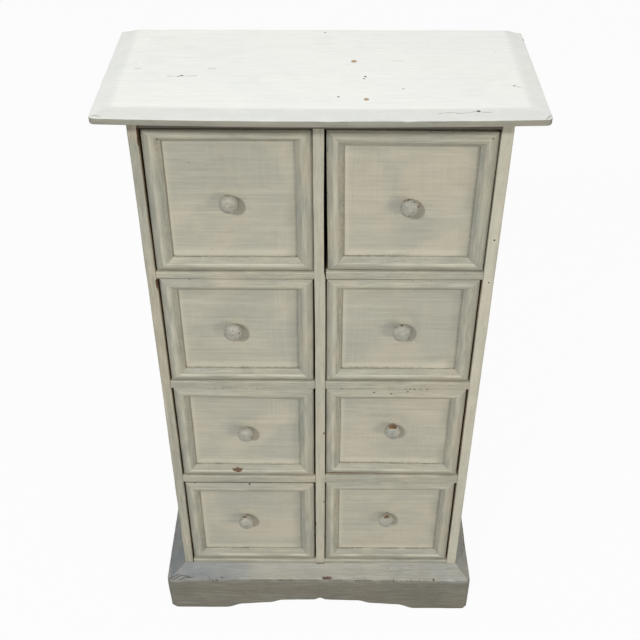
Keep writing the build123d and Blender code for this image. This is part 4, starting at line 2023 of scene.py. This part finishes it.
STILE_PAINT = replace(
    STRIP_PAINT,
    name="paint_stile",
    run=Run.UPRIGHT,
    seed=5.0,
    nicked=0.70,
    chips=(
        front_spot(-217.2, 902.0, 3.0, 32.0),
        front_spot(-217.2, 684.0, 3.0, 18.0),
        front_spot(-7.2, 196.0, 2.0, 9.0),
        front_spot(5.6, 404.5, 2.4, 6.0),
        front_spot(5.5, 249.9, 2.2, 5.0),
    ),
    holes=(front_spot(223.0, 757.0, 2.4, 2.8), front_spot(223.0, 689.0, 2.0, 2.4)),
)
TOP_PAINT = Paint(
    "paint_top",
    Run.ACROSS,
    cool=(0.735, 0.742, 0.712),
    warm=(0.762, 0.760, 0.715),
    light=(0.810, 0.810, 0.780),
    shade=(0.660, 0.662, 0.632),
    # Greyer colour of the painted shade on the bevel.
    undercoat_and_shade=(0.530, 0.537, 0.512),
    dirt_and_shade_colour=(0.300, 0.285, 0.235),
    nick=(0.210, 0.190, 0.160),
    hair_light=0.25,
    grubby=0.05,
    seed=11.0,
    plugs=(top_spot(41.1, 27.1, 6.4, 6.4), top_spot(53.7, -76.1, 5.6, 5.6)),
    holes=(
        top_spot(54.2, -15.9, 3.4, 3.2),
        top_spot(52.5, -21.6, 2.8, 2.6),
        top_spot(21.1, -69.8, 3.2, 3.0),
        top_spot(98.2, -48.9, 2.2, 2.0),
        top_spot(230.8, -39.9, 3.2, 2.6),
        top_spot(181.3, -103.7, 5.0, 3.4),
        top_spot(265.0, 103.0, 5.0, 6.0),
        top_spot(4.9, 115.4, 2.6, 2.6),
        top_spot(-169.0, -14.5, 4.6, 2.6),
        top_spot(-173.0, -17.0, 2.4, 2.0),
        top_spot(254.0, -123.3, 7.0, 3.4),
    ),
    cracks=(
        top_crack(90.0, 28.9, 102.0, 28.9, 0.7),
        top_crack(134.0, -108.6, 150.0, -106.2, 0.7),
        top_crack(150.0, -106.2, 163.0, -107.6),
        top_crack(163.0, -107.6, 178.0, -104.8, 0.7),
        top_crack(184.0, -105.0, 196.0, -106.0, 0.9),
        top_crack(230.8, -39.9, 238.0, -45.0),
        top_crack(254.0, -123.3, 263.2, -108.6, 1.0),
        top_crack(-186.0, -16.5, -150.0, -15.0, 0.9),
        top_crack(-228.0, 5.0, -221.0, 5.4),
        top_crack(-138.0, 5.5, -129.0, 6.5, 0.9),
        top_crack(-262.0, -112.0, -251.0, -114.5, 0.9),
    ),
)
TOP_EDGE_PAINT = Paint(
    "paint_top_edge",
    Run.ACROSS,
    cool=(0.245, 0.240, 0.205),
    warm=(0.290, 0.272, 0.220),
    light=(0.360, 0.345, 0.290),
    shade=(0.180, 0.170, 0.138),
    grubby=0.14,
    seed=19.0,
)
PLINTH_PAINT = Paint(
    "paint_plinth",
    Run.ACROSS,
    nick=(0.040, 0.024, 0.018),
    wood=(0.105, 0.052, 0.036),
    nicked=0.68,
    chips=(
        Spot((12.0, -105.5, 80.5), (8.0, 3.4, 3.0)),
        Spot((192.0, -107.0, 79.0), (3.4, 3.4, 3.0)),
    ),
)
# Darker colours of the plinth face: painted shade, with some grime.
PLINTH_SHADED_FACE = replace(
    PLINTH_PAINT,
    cool=(0.150, 0.143, 0.118),
    warm=(0.180, 0.166, 0.129),
    light=(0.330, 0.322, 0.275),
    shade=(0.115, 0.106, 0.084),
    undercoat_and_shade=(0.240, 0.238, 0.215),
    hair_light=0.14,
    band_light=0.12,
    grubby=0.20,
    seed=13.0,
)
PLINTH_SLOPE = replace(
    PLINTH_PAINT,
    cool=(0.265, 0.268, 0.248),
    warm=(0.325, 0.312, 0.262),
    light=(0.410, 0.402, 0.352),
    shade=(0.190, 0.187, 0.165),
    # Dark blue-grey colour of the painted shade at the left end of the slope.
    undercoat_and_shade=(0.125, 0.142, 0.160),
    grubby=0.14,
    seed=15.0,
    cracks=(
        plinth_crack(-256.0, -104.9, -239.8, -99.3, 1.7),
        plinth_crack(-252.1, -106.7, -234.6, -100.7, 1.5),
        plinth_crack(-234.6, -100.7, -219.2, -103.3, 1.5),
        plinth_crack(-243.1, -107.9, -229.4, -103.3, 1.3),
        plinth_crack(-229.4, -103.3, -212.0, -103.7, 0.9),
        plinth_crack(-189.4, -103.6, -186.4, -108.8, 0.9),
        plinth_crack(-186.4, -108.0, -181.9, -107.0, 0.8),
        plinth_crack(-178.4, -106.6, -174.5, -107.6, 0.8),
        plinth_crack(-169.6, -104.5, -164.0, -104.1, 1.0),
        plinth_crack(-167.8, -104.6, -166.7, -106.7, 0.8),
        plinth_crack(-6.5, -84.8, 7.0, -84.8, 1.6),
    ),
)
# Dark paint under the top and on the top sides of the upper strips: painted shade, with some
# grime.
GRIME_AND_SHADE_PAINT = Paint(
    "paint_shade_under_top",
    Run.ACROSS,
    cool=(0.110, 0.100, 0.078),
    warm=(0.150, 0.130, 0.095),
    light=(0.190, 0.175, 0.140),
    shade=(0.070, 0.060, 0.045),
    grubby=0.2,
    seed=17.0,
)

# The eight drawers from the top row down, each with what the years did to it.
DRAWERS = (
    DrawerFront(
        row=1,
        column=Column.LEFT,
        corners=((-2.3, -3.0), (0.8, -3.0), (-0.3, -1.8), (-1.5, -2.0)),
        widths=(1.0, 0.73, 1.08, 1.0),
        chips=(Spot((-2.2, 2.4, 10.5), (2.6, 2.0, 2.0)),),
        knob_diameter=25.2,
    ),
    DrawerFront(
        row=1,
        column=Column.RIGHT,
        corners=((0.6, -0.6), (0.9, -2.0), (0.9, -3.4), (-2.4, -1.8)),
        chips=(
            Spot((-2.4, -0.6, 10.6), (2.2, 1.6, 1.6)),
            Spot((-6.6, 0.6, 8.9), (3.0, 1.4, 1.4)),
            Spot((8.6, -3.9, 3.8), (1.5, 1.8, 1.8)),
        ),
    ),
    DrawerFront(
        row=2,
        column=Column.LEFT,
        corners=((-1.0, -0.6), (-0.3, -0.6), (-0.4, -0.9), (-1.0, -0.9)),
        widths=(1.0, 0.9, 1.06, 1.0),
        knob_diameter=27.6,
    ),
    DrawerFront(
        row=2,
        column=Column.RIGHT,
        corners=((-0.8, -0.6), (-0.3, -0.6), (-0.7, -0.9), (-0.8, -0.9)),
        widths=(1.0, 0.82, 1.0, 1.0),
        chips=(Spot((-0.9, -0.6, 10.9), (1.7, 1.5, 1.5)),),
        knob_diameter=27.4,
    ),
    DrawerFront(
        row=3,
        column=Column.LEFT,
        corners=((-0.5, -3.0), (-0.3, -3.7), (-0.3, -1.2), (-0.5, -1.2)),
        widths=(1.0, 0.98, 1.0, 1.0),
        knob_diameter=25.2,
        taper=0.13,
    ),
    DrawerFront(
        row=3,
        column=Column.RIGHT,
        corners=((-0.6, 1.9), (-0.6, -0.5), (-0.7, -1.2), (-0.7, -1.2)),
        chips=(Spot((-0.6, -0.4, 10.6), (6.9, 4.6, 4.0)),),
        knob_diameter=24.8,
    ),
    DrawerFront(
        row=4,
        column=Column.LEFT,
        corners=((-0.8, -3.9), (-0.2, -3.9), (-0.2, -4.6), (-0.8, -4.6)),
        widths=(1.15, 1.0, 1.0, 1.0),
        chips=(Spot((-2.0, -0.3, 10.8), (3.6, 2.0, 3.0)),),
        knob_diameter=25.6,
    ),
    DrawerFront(
        row=4,
        column=Column.RIGHT,
        corners=((-0.6, -3.9), (-0.5, -3.9), (-0.8, -1.0), (-0.8, -1.0)),
        widths=(1.15, 0.9, 1.0, 1.0),
        chips=(Spot((0.0, -2.5, 10.7), (4.5, 3.0, 3.0)),),
        knob_diameter=25.6,
    ),
)


@dataclass
class Chest:
    """The whole chest, with its finishes."""

    carcass: Carcass = field(default_factory=Carcass)
    plinth: Plinth = field(default_factory=Plinth)
    drawers: tuple[DrawerFront, ...] = DRAWERS

    def plinth_paints(self, board: str, run: Run) -> list[Material]:
        """Makes the paints of a plinth board.

        Args:
            board: Which board it is, for the names.
            run: Way in which the board was brushed.

        Returns:
            Paint of its upright face, darkened as painted shade with some grime, and of its sloped
            upper side.
        """
        recipes = (("face", PLINTH_SHADED_FACE), ("slope", PLINTH_SLOPE))
        names = [(f"paint_plinth_{board}_{side}", paint) for side, paint in recipes]
        return [replace(paint, name=name, run=run).make() for name, paint in names]

    def panel_paint(self) -> Material:
        """Paint of the panels, brushed both ways and palest above the knobs.

        Returns:
            The material.
        """
        return Paint(
            "paint_panel",
            Run.ACROSS,
            crossed=True,
            gritty=0.12,
            seed=7.0,
            pales=tuple(drawer.pale_spot() for drawer in self.drawers),
            holes=(front_spot(105.1, 427.5, 2.2, 2.2), front_spot(109.1, 216.1, 2.2, 2.2)),
        ).make()

    def knob_paint(self) -> Material:
        """Thick paint of the knobs, each chipped in its own places.

        Returns:
            The material.
        """
        return Paint(
            "paint_knob",
            Run.ACROSS,
            cool=(0.278, 0.276, 0.243),
            warm=(0.322, 0.304, 0.250),
            light=(0.440, 0.426, 0.368),
            shade=(0.215, 0.207, 0.175),
            wood=(0.250, 0.122, 0.044),
            seed=9.0,
            cloud_scale=40.0,
            nicked=0.70,
            chips=tuple(chip for drawer in self.drawers for chip in drawer.knob_chips()),
        ).make()

    def make(self) -> None:
        """Builds and dresses every piece, from the foot up."""
        level, stile, upright = LEVEL_PAINT.make(), STILE_PAINT.make(), UPRIGHT_PAINT.make()
        top, edge, grime_and_shade_paint = TOP_PAINT.make(), TOP_EDGE_PAINT.make(), GRIME_AND_SHADE_PAINT.make()
        face, slope = self.plinth_paints("front", Run.ACROSS)
        end_face, end_slope = self.plinth_paints("end", Run.DEEP)
        panel, knob = self.panel_paint(), self.knob_paint()
        along, close = 5.0, 150.0
        bare_upright = BareWood("bare_wood_upright", (close, close, along)).make()
        bare_level = BareWood("bare_wood_level", (along, close, close)).make()
        bare_box = BareWood("bare_wood_box", (close, along, close), (along, close, close)).make()

        self.plinth.make_front(face, slope)
        for column in Column:
            self.plinth.make_side(column, end_face, end_slope)
            self.carcass.make_side(column, stile, bare_upright)
        self.carcass.make_bottom_board(level, bare_level)
        self.carcass.make_partition(stile, bare_upright)
        for number in (1, 2, 3):
            for column in Column:
                self.carcass.make_shelf(number, column, level, bare_level)
        self.carcass.make_top_board(top, edge)
        kept = {
            "back_panel": bare_upright,
            # The top rail is painted dark: painted shade under the top's overhang, with some
            # grime.
            "top_rail": grime_and_shade_paint,
            "plinth_back": bare_level,
            "plinth_blocks": bare_upright,
            "top_nails": top,
            "back_pins": NailSteel("rusty_nails").make(),
        }
        for node, finish in kept.items():
            finish_node(node, finish)
        for drawer in self.drawers:
            drawer.make_panel(panel, bare_level)
            drawer.make_moulding(level, upright, grime_and_shade_paint)
            drawer.make_knob(knob)
            drawer.dress_box(bare_box, bare_level)


def main() -> None:
    """Builds the chest and its studio."""
    logging.basicConfig(level=logging.INFO, format="%(name)s: %(message)s")
    Chest().make()
    Studio().make()
    LOG.info("boxes written")


if __name__ == "__main__":
    main()
